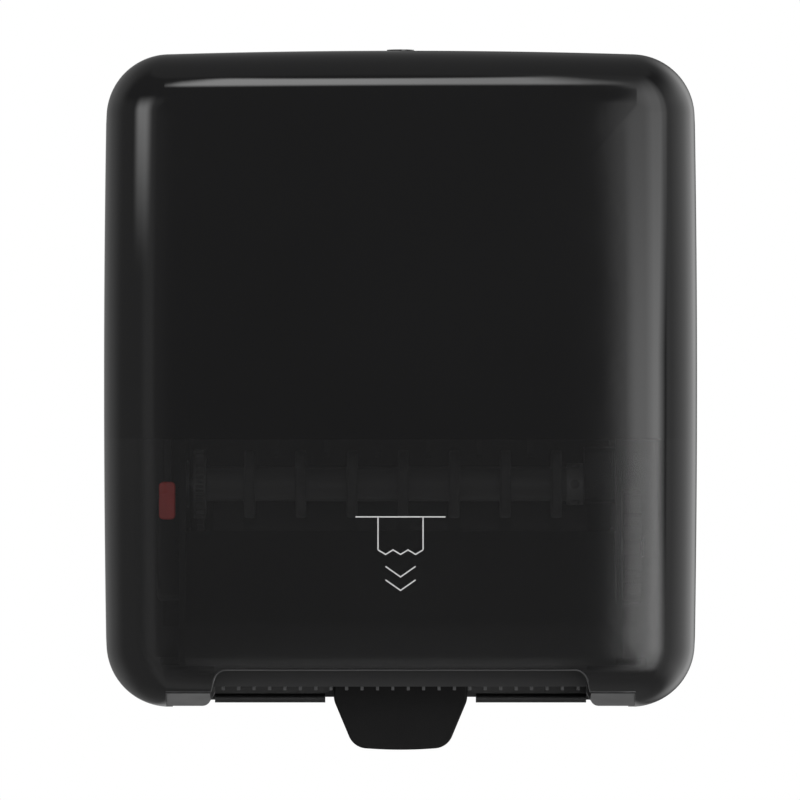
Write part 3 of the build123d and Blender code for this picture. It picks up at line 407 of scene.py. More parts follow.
class InnerLooks(bpy.types.PropertyGroup):
    chassis: bpy.props.FloatVectorProperty(
        name="Chassis black", description="Colour of back panel, arms and brackets", subtype="COLOR",
        size=3, min=0, max=1, default=(0.0055, 0.0055, 0.0057),
    )
    # Painted shade: a darker copy of the chassis black that dims the inner frames, hand wheel, roller block
    # and upper chute
    frames: bpy.props.FloatVectorProperty(
        name="Frame black", description="Colour of side frames, hand wheel and upper chute", subtype="COLOR",
        size=3, min=0, max=1, default=(0.0022, 0.0022, 0.0023),
    )
    # Painted light: this grey is painted on the front chute's lower edge, lighter than its black
    chute: bpy.props.FloatVectorProperty(
        name="Chute grey", description="Colour of the front chute where towels polish it", subtype="COLOR",
        size=3, min=0, max=1, default=(0.032, 0.032, 0.0326),
    )
    comb: bpy.props.FloatVectorProperty(
        name="Comb grey", description="Colour of the comb in the outlet", subtype="COLOR",
        size=3, min=0, max=1, default=(0.05, 0.05, 0.051),
    )
    guard: bpy.props.FloatVectorProperty(
        name="Tongue black", description="Colour of the matte tongue", subtype="COLOR",
        size=3, min=0, max=1, default=(0.0035, 0.0035, 0.0036),
    )
    roller: bpy.props.FloatVectorProperty(
        name="Roller grey", description="Colour of the pinch roller", subtype="COLOR",
        size=3, min=0, max=1, default=(0.052, 0.052, 0.053),
    )
    sleeve: bpy.props.FloatVectorProperty(
        name="Sleeve grey", description="Colour of the roller's end sleeve", subtype="COLOR",
        size=3, min=0, max=1, default=(0.085, 0.085, 0.086),
    )
    drum: bpy.props.FloatVectorProperty(
        name="Drum grey", description="Colour of the feed drum", subtype="COLOR",
        size=3, min=0, max=1, default=(0.014, 0.014, 0.0144),
    )
    hub: bpy.props.FloatVectorProperty(
        name="Hub black", description="Colour of the roll hubs", subtype="COLOR",
        size=3, min=0, max=1, default=(0.004, 0.004, 0.0041),
    )
    tyre: bpy.props.FloatVectorProperty(
        name="Tyre grey", description="Colour of the roller's tyres", subtype="COLOR",
        size=3, min=0, max=1, default=(0.05, 0.05, 0.051),
    )
    grip: bpy.props.FloatVectorProperty(
        name="Grip black", description="Colour of the drum's grip bands", subtype="COLOR",
        size=3, min=0, max=1, default=(0.016, 0.016, 0.0163),
    )
    tab: bpy.props.FloatVectorProperty(
        name="Tab red", description="Colour of the thumb tab", subtype="COLOR",
        size=3, min=0, max=1, default=(0.86, 0.062, 0.052),
    )
    steel: bpy.props.FloatVectorProperty(
        name="Steel", description="Colour of pins and blade", subtype="COLOR",
        size=3, min=0, max=1, default=(0.55, 0.55, 0.56),
    )
    screw: bpy.props.FloatVectorProperty(
        name="Screw black", description="Colour of the frames' screws", subtype="COLOR",
        size=3, min=0, max=1, default=(0.03, 0.03, 0.031),
    )


class SignLooks(bpy.types.PropertyGroup):
    ink: bpy.props.FloatVectorProperty(
        name="Ink", description="Colour of the printed sign", subtype="COLOR",
        size=3, min=0, max=1, default=(0.42, 0.42, 0.42),
    )
    height: bpy.props.FloatProperty(
        name="Sign height", description="Height of the printed sign", unit="LENGTH",
        min=0.01, default=0.041,
    )
    stroke: bpy.props.FloatProperty(
        name="Stroke", description="Width of the printed lines", unit="LENGTH", min=0.0001, default=0.0007,
    )
    middle_z: bpy.props.FloatProperty(
        name="Sign middle", description="Height of the sign's middle", unit="LENGTH", default=-0.096,
    )
    lift: bpy.props.FloatProperty(
        name="Ink height", description="How far the ink stands on the cover", unit="LENGTH", default=0.00006,
    )


class StudioLooks(bpy.types.PropertyGroup):
    distance: bpy.props.FloatProperty(
        name="Camera distance", description="Distance of the camera from the wall",
        unit="LENGTH", default=5.0,
    )
    aim: bpy.props.FloatVectorProperty(
        name="Camera aim", description="Point of the wall in the middle of the picture",
        subtype="TRANSLATION", size=3, default=(-0.0003, 0.0, -0.0117),
    )
    field: bpy.props.FloatProperty(
        name="Field", description="Width of the view at the wall", unit="LENGTH", default=0.4551,
    )
    floor: bpy.props.FloatProperty(
        name="Floor", description="Height of the floor below the dispenser's middle",
        unit="LENGTH", default=-1.2,
    )
    floor_colour: bpy.props.FloatVectorProperty(
        name="Floor grey", description="Colour of the floor", subtype="COLOR",
        size=3, min=0, max=1, default=(0.72, 0.72, 0.72),
    )
    floor_glow: bpy.props.FloatProperty(
        name="Floor glow", description="How much brighter the floor is for the camera alone",
        min=0, default=0.36,
    )
    ambient: bpy.props.FloatProperty(
        name="Ambient", description="Level of the room's soft light", min=0, default=0.45,
    )
    front: bpy.props.FloatProperty(
        name="Dark front", description="Brightness of the room in front, as the gloss shows it",
        min=0, default=0.11,
    )


# Cover skin

WALL_SHARES = (0.0, 0.3, 0.6, 0.9, 0.985)
SHOULDER_STEPS = 32
FRONT_STEPS = 12
CORNER_STEPS = 24
SIDE_STEPS = 28
CORNER_ROUNDS = 8
POST_SIDES = 64
SHARP_ANGLE = radians(30)
RAY_START = -1.0
LIP_ROUNDNESS = 3
WELD_GAP = 0.000001


def skin_ring(shape):
    """Back edge of the cover as (point, outward direction) pairs, round from its lower right corner."""
    half_w = shape.width / 2
    half_h = shape.height / 2
    corner = shape.shoulder + shape.corner_spare + (shape.depth - shape.back) * tan(shape.draft)
    end_x = half_w - shape.side_crown
    end_z = half_h - shape.top_crown
    roof_r = (end_x ** 2 + shape.top_crown ** 2) / (2 * shape.top_crown)
    roof_z = half_h - roof_r
    side_z = (end_z - half_h) / 2
    side_x = (half_w ** 2 - end_x ** 2 + side_z ** 2 - (end_z - side_z) ** 2) / (2 * shape.side_crown)
    side_r = sqrt((half_w - side_x) ** 2 + side_z ** 2)
    low_z = corner - half_h
    low_x = side_x + sqrt((side_r - corner) ** 2 - (low_z - side_z) ** 2)
    high_z = end_z - corner
    for _ in range(CORNER_ROUNDS):
        high_x = side_x + sqrt((side_r - corner) ** 2 - (high_z - side_z) ** 2)
        high_z = roof_z + sqrt((roof_r - corner) ** 2 - high_x ** 2)
    low = atan2(low_z - side_z, low_x - side_x)
    high = atan2(high_z - side_z, high_x - side_x)
    roof = atan2(high_z - roof_z, high_x)
    right = [
        (low_x, low_z, corner, -pi / 2, low, CORNER_STEPS),
        (side_x, side_z, side_r, low, high, SIDE_STEPS),
        (high_x, high_z, corner, high, roof, CORNER_STEPS),
    ]
    top = [(0, roof_z, roof_r, roof, pi - roof, SIDE_STEPS)]
    left = [(-x, z, r, pi - end, pi - start, steps) for x, z, r, start, end, steps in reversed(right)]
    ring = []
    for x, z, r, start, end, steps in right + top + left:
        for i in range(steps):
            angle = start + (end - start) * i / steps
            way = Vector((cos(angle), 0, sin(angle)))
            ring.append((Vector((x + r * cos(angle), -shape.back, z + r * sin(angle))), way))
    for i in range(SIDE_STEPS):
        x = low_x * (2 * i / SIDE_STEPS - 1)
        ring.append((Vector((x, -shape.back, -half_h)), Vector((0, 0, -1))))
    return ring


def skin_column(shape, edge, way):
    """Points of the skin from the back edge over the shoulder to near the front's middle."""
    ahead = Vector((0, -1, 0))
    side = way * cos(shape.draft) + ahead * sin(shape.draft)
    run = ahead - way * tan(shape.draft)
    eye = Vector((0, shape.front_crown - shape.depth, 0))
    start = edge - shape.shoulder * side - eye
    square = run.dot(run)
    mixed = run.dot(start)
    rest = start.dot(start) - (shape.front_crown - shape.shoulder) ** 2
    length = (sqrt(mixed ** 2 - square * rest) - mixed) / square
    centre = eye + start + run * length
    front = (centre - eye).normalized()
    points = [edge + run * length * share for share in WALL_SHARES]
    for i in range(SHOULDER_STEPS + 1):
        points.append(centre + shape.shoulder * side.slerp(front, i / SHOULDER_STEPS))
    rim = points[-1]
    for i in range(1, FRONT_STEPS):
        x = rim.x * (1 - i / FRONT_STEPS)
        z = rim.z * (1 - i / FRONT_STEPS)
        points.append(Vector((x, crown_y(shape, x, z), z)))
    return points


def crown_y(shape, x, z):
    """Where the crowned front lies at a place across it."""
    return shape.front_crown - shape.depth - sqrt(shape.front_crown ** 2 - x * x - z * z)


def cover_skin(context, name, shape, up):
    """Outer skin of the cover on one side of the seam: above it where up is 1, below it where up is -1."""
    mesh = bmesh.new()
    rows = [[mesh.verts.new(p) for p in skin_column(shape, *pair)] for pair in skin_ring(shape)]
    middle = mesh.verts.new((0, -shape.depth, 0))
    for row, after in zip(rows, rows[1:] + rows[:1]):
        for k in range(len(row) - 1):
            mesh.faces.new((row[k], after[k], after[k + 1], row[k + 1]))
        mesh.faces.new((row[-1], after[-1], middle))
    bmesh.ops.bisect_plane(
        mesh, geom=mesh.verts[:] + mesh.edges[:] + mesh.faces[:],
        plane_co=(0, 0, shape.seam), plane_no=(0, 0, up), clear_inner=True,
    )
    return place_mesh(context, name, mesh)


def place_mesh(context, name, mesh):
    """Object in the scene from a finished bmesh."""
    piece = bpy.data.objects.new(name, bpy.data.meshes.new(name))
    mesh.to_mesh(piece.data)
    mesh.free()
    context.scene.collection.objects.link(piece)
    return piece


def prism(context, name, corners, near, far):
    """Closed solid over an outline in (x, z), between two depths from the wall."""
    mesh = bmesh.new()
    back = [mesh.verts.new((x, -near, z)) for x, z in corners]
    front = [mesh.verts.new((x, -far, z)) for x, z in corners]
    mesh.faces.new(back)
    mesh.faces.new(front)
    for i in range(len(corners)):
        mesh.faces.new((back[i - 1], back[i], front[i], front[i - 1]))
    bmesh.ops.recalc_face_normals(mesh, faces=mesh.faces[:])
    return place_mesh(context, name, mesh)


def post(context, name, radius, depth, low, high):
    """Closed upright cylinder on the middle line, at a depth from the wall."""
    mesh = bmesh.new()
    bmesh.ops.create_cone(
        mesh, cap_ends=True, segments=POST_SIDES, radius1=radius, radius2=radius, depth=high - low,
        matrix=Matrix.Translation((0, -depth, (low + high) / 2)),
    )
    return place_mesh(context, name, mesh)


def carve(context, piece, wall, cutters):
    """Give a skin its wall, take the cutters out of it and smooth what is left."""
    shell = piece.modifiers.new("wall", "SOLIDIFY")
    shell.thickness = wall
    shell.offset = -1
    shell.use_even_offset = True
    for cutter in cutters:
        cut = piece.modifiers.new(cutter.name, "BOOLEAN")
        cut.operation = "DIFFERENCE"
        cut.solver = "EXACT"
        cut.object = cutter
    graph = context.evaluated_depsgraph_get()
    piece.data = bpy.data.meshes.new_from_object(piece.evaluated_get(graph))
    piece.modifiers.clear()
    piece.data.shade_smooth()
    piece.data.set_sharp_from_angle(angle=SHARP_ANGLE)
    for cutter in cutters:
        bpy.data.objects.remove(cutter)


# Pieces

class DISPENSER_OT_cover(bpy.types.Operator):
    """Finish the two parts of the cover, its feet and its lock"""
    bl_idname = "dispenser.cover"
    bl_label = "Finish cover"

    def execute(self, context):
        looks = context.scene.dispenser_cover
        shape = context.scene.dispenser_shape
        upper = gloss_plastic("cover_gloss_black", looks.black, looks.gloss)
        self.upper_cover(context, shape, upper)
        # The lip's lighter black is a painted highlight along the mouth's edge
        lip = gloss_plastic("lip_painted_highlight_black", looks.lip, looks.gloss)
        self.lower_cover(context, shape, self.smoke(looks), lip)
        foot = gloss_plastic("foot_satin_black", looks.foot, roughness=0.34, specular=0.16)
        dress(foot, "left_hinge_foot", "right_hinge_foot")
        dress(gloss_plastic("lock_gloss_black", looks.black, roughness=0.14), "lock_cylinder")
        return {"FINISHED"}

    def smoke(self, looks):
        """Smoke plastic, clear where it is seen straight on, with the gloss that its clearness takes away."""
        material = gloss_plastic("cover_smoke", looks.smoke, looks.gloss)
        shader, place = inside(material)
        facing = place.node("ShaderNodeLayerWeight", None, {"Blend": 0.5}, output="Facing")
        density = looks.smoke_cover
        hold = density + (1.0 - density) * facing.rise(*SMOKE_FACING)
        cloud = 1.0 - SMOKE_CLOUD + SMOKE_CLOUD * place.noise(FLOW_SCALE, detail=3.0)
        tint = (density / hold) ** SMOKE_FALL * cloud
        feed(shader, "Base Color", tint.shades(looks.smoke, SMOKE_SHADES))
        feed(shader, "Alpha", hold)
        feed(shader, "Coat Weight", looks.smoke_gloss * (1.0 / hold - 1.0))
        shader.inputs["Coat IOR"].default_value = SMOKE_COAT_IOR
        shader.inputs["Coat Roughness"].default_value = looks.gloss
        return material

    def upper_cover(self, context, shape, material):
        """Upper cover with the seat of its lock."""
        piece = cover_skin(context, "upper_cover_skin", shape, 1)
        top = shape.height / 2 + shape.shoulder
        seat = post(context, "lock_seat", shape.lock_head, shape.lock_depth, shape.lock_seat, top)
        hole = post(context, "lock_hole", shape.lock_body, shape.lock_depth, 0, top)
        carve(context, piece, shape.wall, [seat, hole])
        self.settle(piece, material, "upper_cover", "cover_black")

    def lower_cover(self, context, shape, material, lip_highlight_material):
        """Lower cover with its outlet mouth, the notches for the feet and the room for the hinge."""
        piece = cover_skin(context, "lower_cover_skin", shape, -1)
        low = -shape.height
        half = [(shape.notch_half, low), (shape.notch_half, shape.notch_top)]
        half.append((shape.mouth_half, shape.notch_top))
        bend_z = shape.mouth_top - shape.mouth_round
        reach = shape.mouth_round / cos(shape.mouth_lean)
        bend_x = shape.mouth_half - reach - (bend_z - shape.notch_top) * tan(shape.mouth_lean)
        for i in range(CORNER_STEPS + 1):
            angle = shape.mouth_lean + (pi / 2 - shape.mouth_lean) * i / CORNER_STEPS
            half.append((bend_x + shape.mouth_round * cos(angle), bend_z + shape.mouth_round * sin(angle)))
        outline = half + [(-x, z) for x, z in reversed(half)]
        self.lip(context, shape, piece, [p for p in outline if p[1] >= shape.notch_top], lip_highlight_material)
        mouth = prism(context, "mouth", outline, -shape.back, shape.depth + shape.shoulder)
        hinge = self.box(context, "hinge_room", shape.width, shape.hinge_top, low, shape.hinge_depth)
        swing = self.box(context, "swing_room", shape.swing_half, shape.swing_top, low, shape.swing_depth)
        carve(context, piece, shape.wall, [mouth, hinge, swing])
        self.settle(piece, material, "lower_cover", "cover_smoke")

    def lip(self, context, shape, skin, outline, material):
        """Fine rolled lip along the mouth's edge, laid into the skin; its bead catches real gloss, and its
        lighter black adds a painted highlight line.
        """
        graph = context.evaluated_depsgraph_get()
        tree = BVHTree.FromObject(skin, graph)
        curve = bpy.data.curves.new("lip_path", "CURVE")
        curve.dimensions = "3D"
        curve.bevel_depth = shape.lip
        curve.bevel_resolution = LIP_ROUNDNESS
        curve.use_fill_caps = True
        path = curve.splines.new("POLY")
        path.points.add(len(outline) - 1)
        for spot, (x, z) in zip(path.points, outline):
            touch = tree.ray_cast(Vector((x, RAY_START, z)), Vector((0, 1, 0)))[0]
            spot.co = (x, touch.y + shape.lip, z, 1)
        wire = bpy.data.objects.new("lip_path", curve)
        context.scene.collection.objects.link(wire)
        graph = context.evaluated_depsgraph_get()
        mesh = bmesh.new()
        mesh.from_mesh(bpy.data.meshes.new_from_object(wire.evaluated_get(graph)))
        bmesh.ops.remove_doubles(mesh, verts=mesh.verts[:], dist=WELD_GAP)
        bpy.data.objects.remove(wire)
        piece = place_mesh(context, "mouth_lip", mesh)
        piece.data.shade_smooth()
        piece.data.materials.append(material)
        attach(piece, "cover")

    def box(self, context, name, half, top, low, depth):
        """Box from the wall to a depth, on both sides of the middle line."""
        return prism(context, name, [(-half, low), (half, low), (half, top), (-half, top)], -depth, depth)

    def settle(self, piece, material, node, slot):
        """Let a finished skin stand for its CAD node."""
        piece.data.materials.clear()
        piece.data.materials.append(material)
        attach(piece, "cover")
        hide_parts(node)


class DISPENSER_OT_chassis(bpy.types.Operator):
    """Finish the back panel, frames, chutes and tongue"""
    bl_idname = "dispenser.chassis"
    bl_label = "Finish chassis"

    def execute(self, context):
        looks = context.scene.dispenser_inner
        dress(
            matte_plastic("chassis_black", looks.chassis, roughness=0.5),
            "back_panel", "left_hinge_bracket", "right_hinge_bracket", "chute_rear",
            "lock_keeper", "left_roll_arm", "right_roll_arm", "transfer_bar",
        )
        dress(
            # Painted shade: frames, spring case, hand wheel and roller block get a darker copy of the chassis
            # black
            matte_plastic("frame_black_painted_shade", looks.frames, roughness=0.55, specular=0.25),
            "left_side_frame", "right_side_frame", "spring_case", "hand_wheel", "roller_block",
        )
        # The front chute's finish carries painted light along its lower edge
        dress(self.painted_light_chute(looks), "chute_front")
        dress(matte_plastic("comb_grey", looks.comb, roughness=0.4), "guide_comb")
        guard = matte_plastic("guard_matte_black", looks.guard, roughness=0.62, specular=0.2, height=0.00006)
        dress(guard, "hand_guard")
        return {"FINISHED"}

    def painted_light_chute(self, looks):
        """Black chute with painted light: greyer towards its lower edge, where it shows through the mouth."""
        material = matte_plastic("chute_black_painted_light", looks.frames, roughness=0.55, specular=0.25)
        shader, place = inside(material)
        # Painted light: the grey rises from the chute's black towards its lower edge, made uneven by a little
        # noise
        height = place.node("ShaderNodeSeparateXYZ", None, {"Vector": place}, output="Z")
        spread = 1.0 + PAINTED_LIGHT_SPREAD * (place.noise(PAINTED_LIGHT_SCALE) - 0.5)
        painted_light = height.ramp(*PAINTED_LIGHT_EDGE) * spread
        feed(shader, "Base Color", painted_light.blend(opaque(looks.frames), opaque(looks.chute)))
        return material


class DISPENSER_OT_feed(bpy.types.Operator):
    """Finish the drum, knife, pinch roller, gears, hubs and thumb tab"""
    bl_idname = "dispenser.feed"
    bl_label = "Finish feed"

    def execute(self, context):
        looks = context.scene.dispenser_inner
        dress(
            matte_plastic("drum_grey", looks.drum, roughness=0.45),
            "drum_front_half", "drum_rear_half", "left_drum_end", "right_drum_end", "knife_carrier",
        )
        dress(matte_plastic("roller_grey", looks.roller, roughness=0.5, specular=0.3), "pinch_shaft")
        dress(matte_plastic("sleeve_grey", looks.sleeve, roughness=0.5), "pinch_sleeve")
        dress(
            matte_plastic("gear_grey", looks.roller, roughness=0.36, grain=900.0, height=0.00001),
            "drum_gear", "pinch_pinion", "roller_bush", "drum_bushes", "transfer_bushes",
        )
        dress(matte_plastic("hub_grey", looks.hub, roughness=0.44), "left_roll_hub", "right_roll_hub")
        dress(rubber("tyre_rubber", looks.tyre), "pinch_tyres")
        dress(rubber("grip_rubber", looks.grip), "drum_grips")
        dress(gloss_plastic("tab_red", looks.tab, roughness=0.28), "lever_tab")
        dress(
            bright_steel("pin_steel", looks.steel, roughness=0.3),
            "hinge_pins", "arm_pins", "drum_axle", "lock_cam",
        )
        dress(bright_steel("screw_black", looks.screw, roughness=0.42), "frame_screws")
        dress(bright_steel("blade_steel", looks.steel, roughness=0.2), "knife_blade")
        return {"FINISHED"}


# Sign: a slot, a sheet with a torn edge and two arrowheads, in tenths of the sign's height

SIGN_UNITS = 10
STROKE_STEPS = 12
SIGN_LINES = (
    ((-6, 5), (6, 5)),
    ((-3, 5), (-3, 0.6)),
    ((3, 5), (3, 0.6)),
    ((-3, 0.6), (-2, 0.0), (-1, 0.6), (0, 0.0), (1, 0.6), (2, 0.0), (3, 0.6)),
    ((-2, -1.6), (0, -3.0), (2, -1.6)),
    ((-2, -3.4), (0, -4.8), (2, -3.4)),
)


class DISPENSER_OT_sign(bpy.types.Operator):
    """Print the plain pull-down sign on the smoke cover"""
    bl_idname = "dispenser.sign"
    bl_label = "Print sign"

    def execute(self, context):
        looks = context.scene.dispenser_sign
        unit = looks.height / SIGN_UNITS
        mesh = bmesh.new()
        for line in SIGN_LINES:
            self.stroke(mesh, context.scene, [(x * unit, y * unit) for x, y in line])
        bmesh.ops.recalc_face_normals(mesh, faces=mesh.faces[:])
        piece = place_mesh(context, "pull_sign", mesh)
        ink = matte_plastic("sign_ink", looks.ink, roughness=0.5, grain=1500.0, height=0.000005)
        piece.data.materials.append(ink)
        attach(piece, "cover")
        return {"FINISHED"}

    def stroke(self, mesh, scene, points):
        """One printed line with mitred corners, a thin closed layer on the crowned front."""
        half = scene.dispenser_sign.stroke / 2
        path = [Vector(points[0])]
        for start, end in zip(points, points[1:]):
            for i in range(STROKE_STEPS):
                path.append(Vector(start).lerp(Vector(end), (i + 1) / STROKE_STEPS))
        sides = []
        for i, here in enumerate(path):
            before = path[max(i - 1, 0)]
            after = path[min(i + 1, len(path) - 1)]
            steps = [(b - a).normalized() for a, b in ((before, here), (here, after)) if (b - a).length]
            across = sum((Vector((-s.y, s.x)) for s in steps), Vector((0, 0))).normalized()
            reach = half / across.dot(Vector((-steps[0].y, steps[0].x)))
            sides.append((here + across * reach, here - across * reach))
        lift = scene.dispenser_sign.lift
        rows = []
        for one, other in sides:
            spots = [(one, lift), (other, lift), (other, -lift), (one, -lift)]
            rows.append([mesh.verts.new(self.lay(scene, p, height)) for p, height in spots])
        for row, after in zip(rows, rows[1:]):
            for k in range(len(row)):
                mesh.faces.new((row[k - 1], row[k], after[k], after[k - 1]))
        mesh.faces.new(rows[0])
        mesh.faces.new(rows[-1])

    def lay(self, scene, point, height):
        """Place at a height on the front of the cover, given in the sign's own plane."""
        z = scene.dispenser_sign.middle_z + point.y
        return (point.x, crown_y(scene.dispenser_shape, point.x, z) - height, z)


# Studio: lamps, floor and the room that the gloss mirrors, with soft edges in degrees from dark to bright

SENSOR_WIDTH = 36.0
BLACK = (0.0, 0.0, 0.0, 1.0)
WHITE = (1.0, 1.0, 1.0, 1.0)
LAMPS = (
    ("key_lamp", (-0.3, -1.7, 1.7), 1.4, 26.0),
    ("front_lamp", (0.0, -2.5, 0.6), 1.2, 20.0),
    ("right_lamp", (2.1, -1.3, 0.2), 1.2, 16.0),
    ("left_lamp", (-2.1, -1.3, 0.5), 1.2, 12.0),
    ("back_lamp", (0.4, 2.2, 1.2), 1.4, 14.0),
)
FLOOR_ROUGHNESS = 0.8
FLOOR_GRAIN = 300.0
FLOOR_HALF = 5.0
FLOOR_CELLS = 8
RIGHT_LEVEL = 2.35
RIGHT_EDGE = (6.7, 8.2)
RIGHT_WAIST = 0.3
RIGHT_WAIST_EDGE = (2, 9)
RIGHT_HEAD = 3.6
RIGHT_HEAD_EDGE = (9, 40)
RIGHT_FOOT = 0.7
RIGHT_FOOT_EDGE = (-9, -20)
RIGHT_SWELL = 1.3
RIGHT_SWELL_EDGE = (8, 26)
RIGHT_END = (50, 33)
RIGHT_END_HIGH = 11.0
RIGHT_END_HIGH_EDGE = (1, 8)
RIGHT_END_LOW = 5.0
RIGHT_END_LOW_EDGE = (-3, -8)
RIGHT_DIM = 0.45
RIGHT_DIM_EDGE = (-2, 11)
RIGHT_BASE = 0.35
RIGHT_BASE_EDGE = (-40, -9)
RIGHT_TOP = (75, 25)
RIGHT_BOTTOM = (-44, -34)
LEFT_LEVEL = 3.1
LEFT_OUTER = (-61, -45)
LEFT_INNER = (-16, -35)
LEFT_BOTTOM = (3.4, 9)
LEFT_TOP = (33, 11)
GLOW_NEAR = 0.125
GLOW_NEAR_EDGE = (-7.4, -10)
GLOW_FAR = 0.16
GLOW_FAR_EDGE = (-8.8, -17)
GLOW_END = (-42, -26)
GLOW_TOP = (30, 15)
TOP_LEVEL = 4.9
TOP_BEND = 0.05
TOP_TILT = 0.2
TOP_LOWER = (40, 47)
TOP_UPPER = (60.5, 55)
TOP_LEFT = (-13.8, -10.2)
TOP_RIGHT = (13.7, 6.6)
TOP_DIM = 0.22
TOP_DIM_EDGE = (-4.5, 6.6)
FAR_TOP = (60, 20)
FAR_BOTTOM = (-54, -26)
FAR_RIGHT = 0.5
FAR_RIGHT_EDGE = (48, 56)
FAR_RIGHT_SLOPE = (66, 116)
FAR_RIGHT_END = (172, 134)
FAR_LEFT = 0.23
FAR_LEFT_EDGE = (-82, -116)
FAR_LEFT_END = (-172, -128)
BEHIND = (-0.1, 0.3)
OVER_LEVEL = 0.13
OVER_EDGE = (62, 70)
OVER_BEHIND_EDGE = (10, 35)
LOW_NEAR = 0.22
LOW_NEAR_EDGE = (-8.5, -22)
LOW_FAR = 0.25
LOW_FAR_EDGE = (-30, -45)
LOW_LEFT = (-8.2, -6)
LOW_RIGHT = (7, 5.2)
SIDE_NEAR = 0.15
SIDE_NEAR_EDGE = (-30, -44)
SIDE_FAR = 0.1
SIDE_FAR_EDGE = (-60, -80)
SIDE_LEFT = (5, 9)
UNDER_LEVEL = 0.6
UNDER_EDGE = (-8, -28)
UNDER_SPAN = (168, 179)


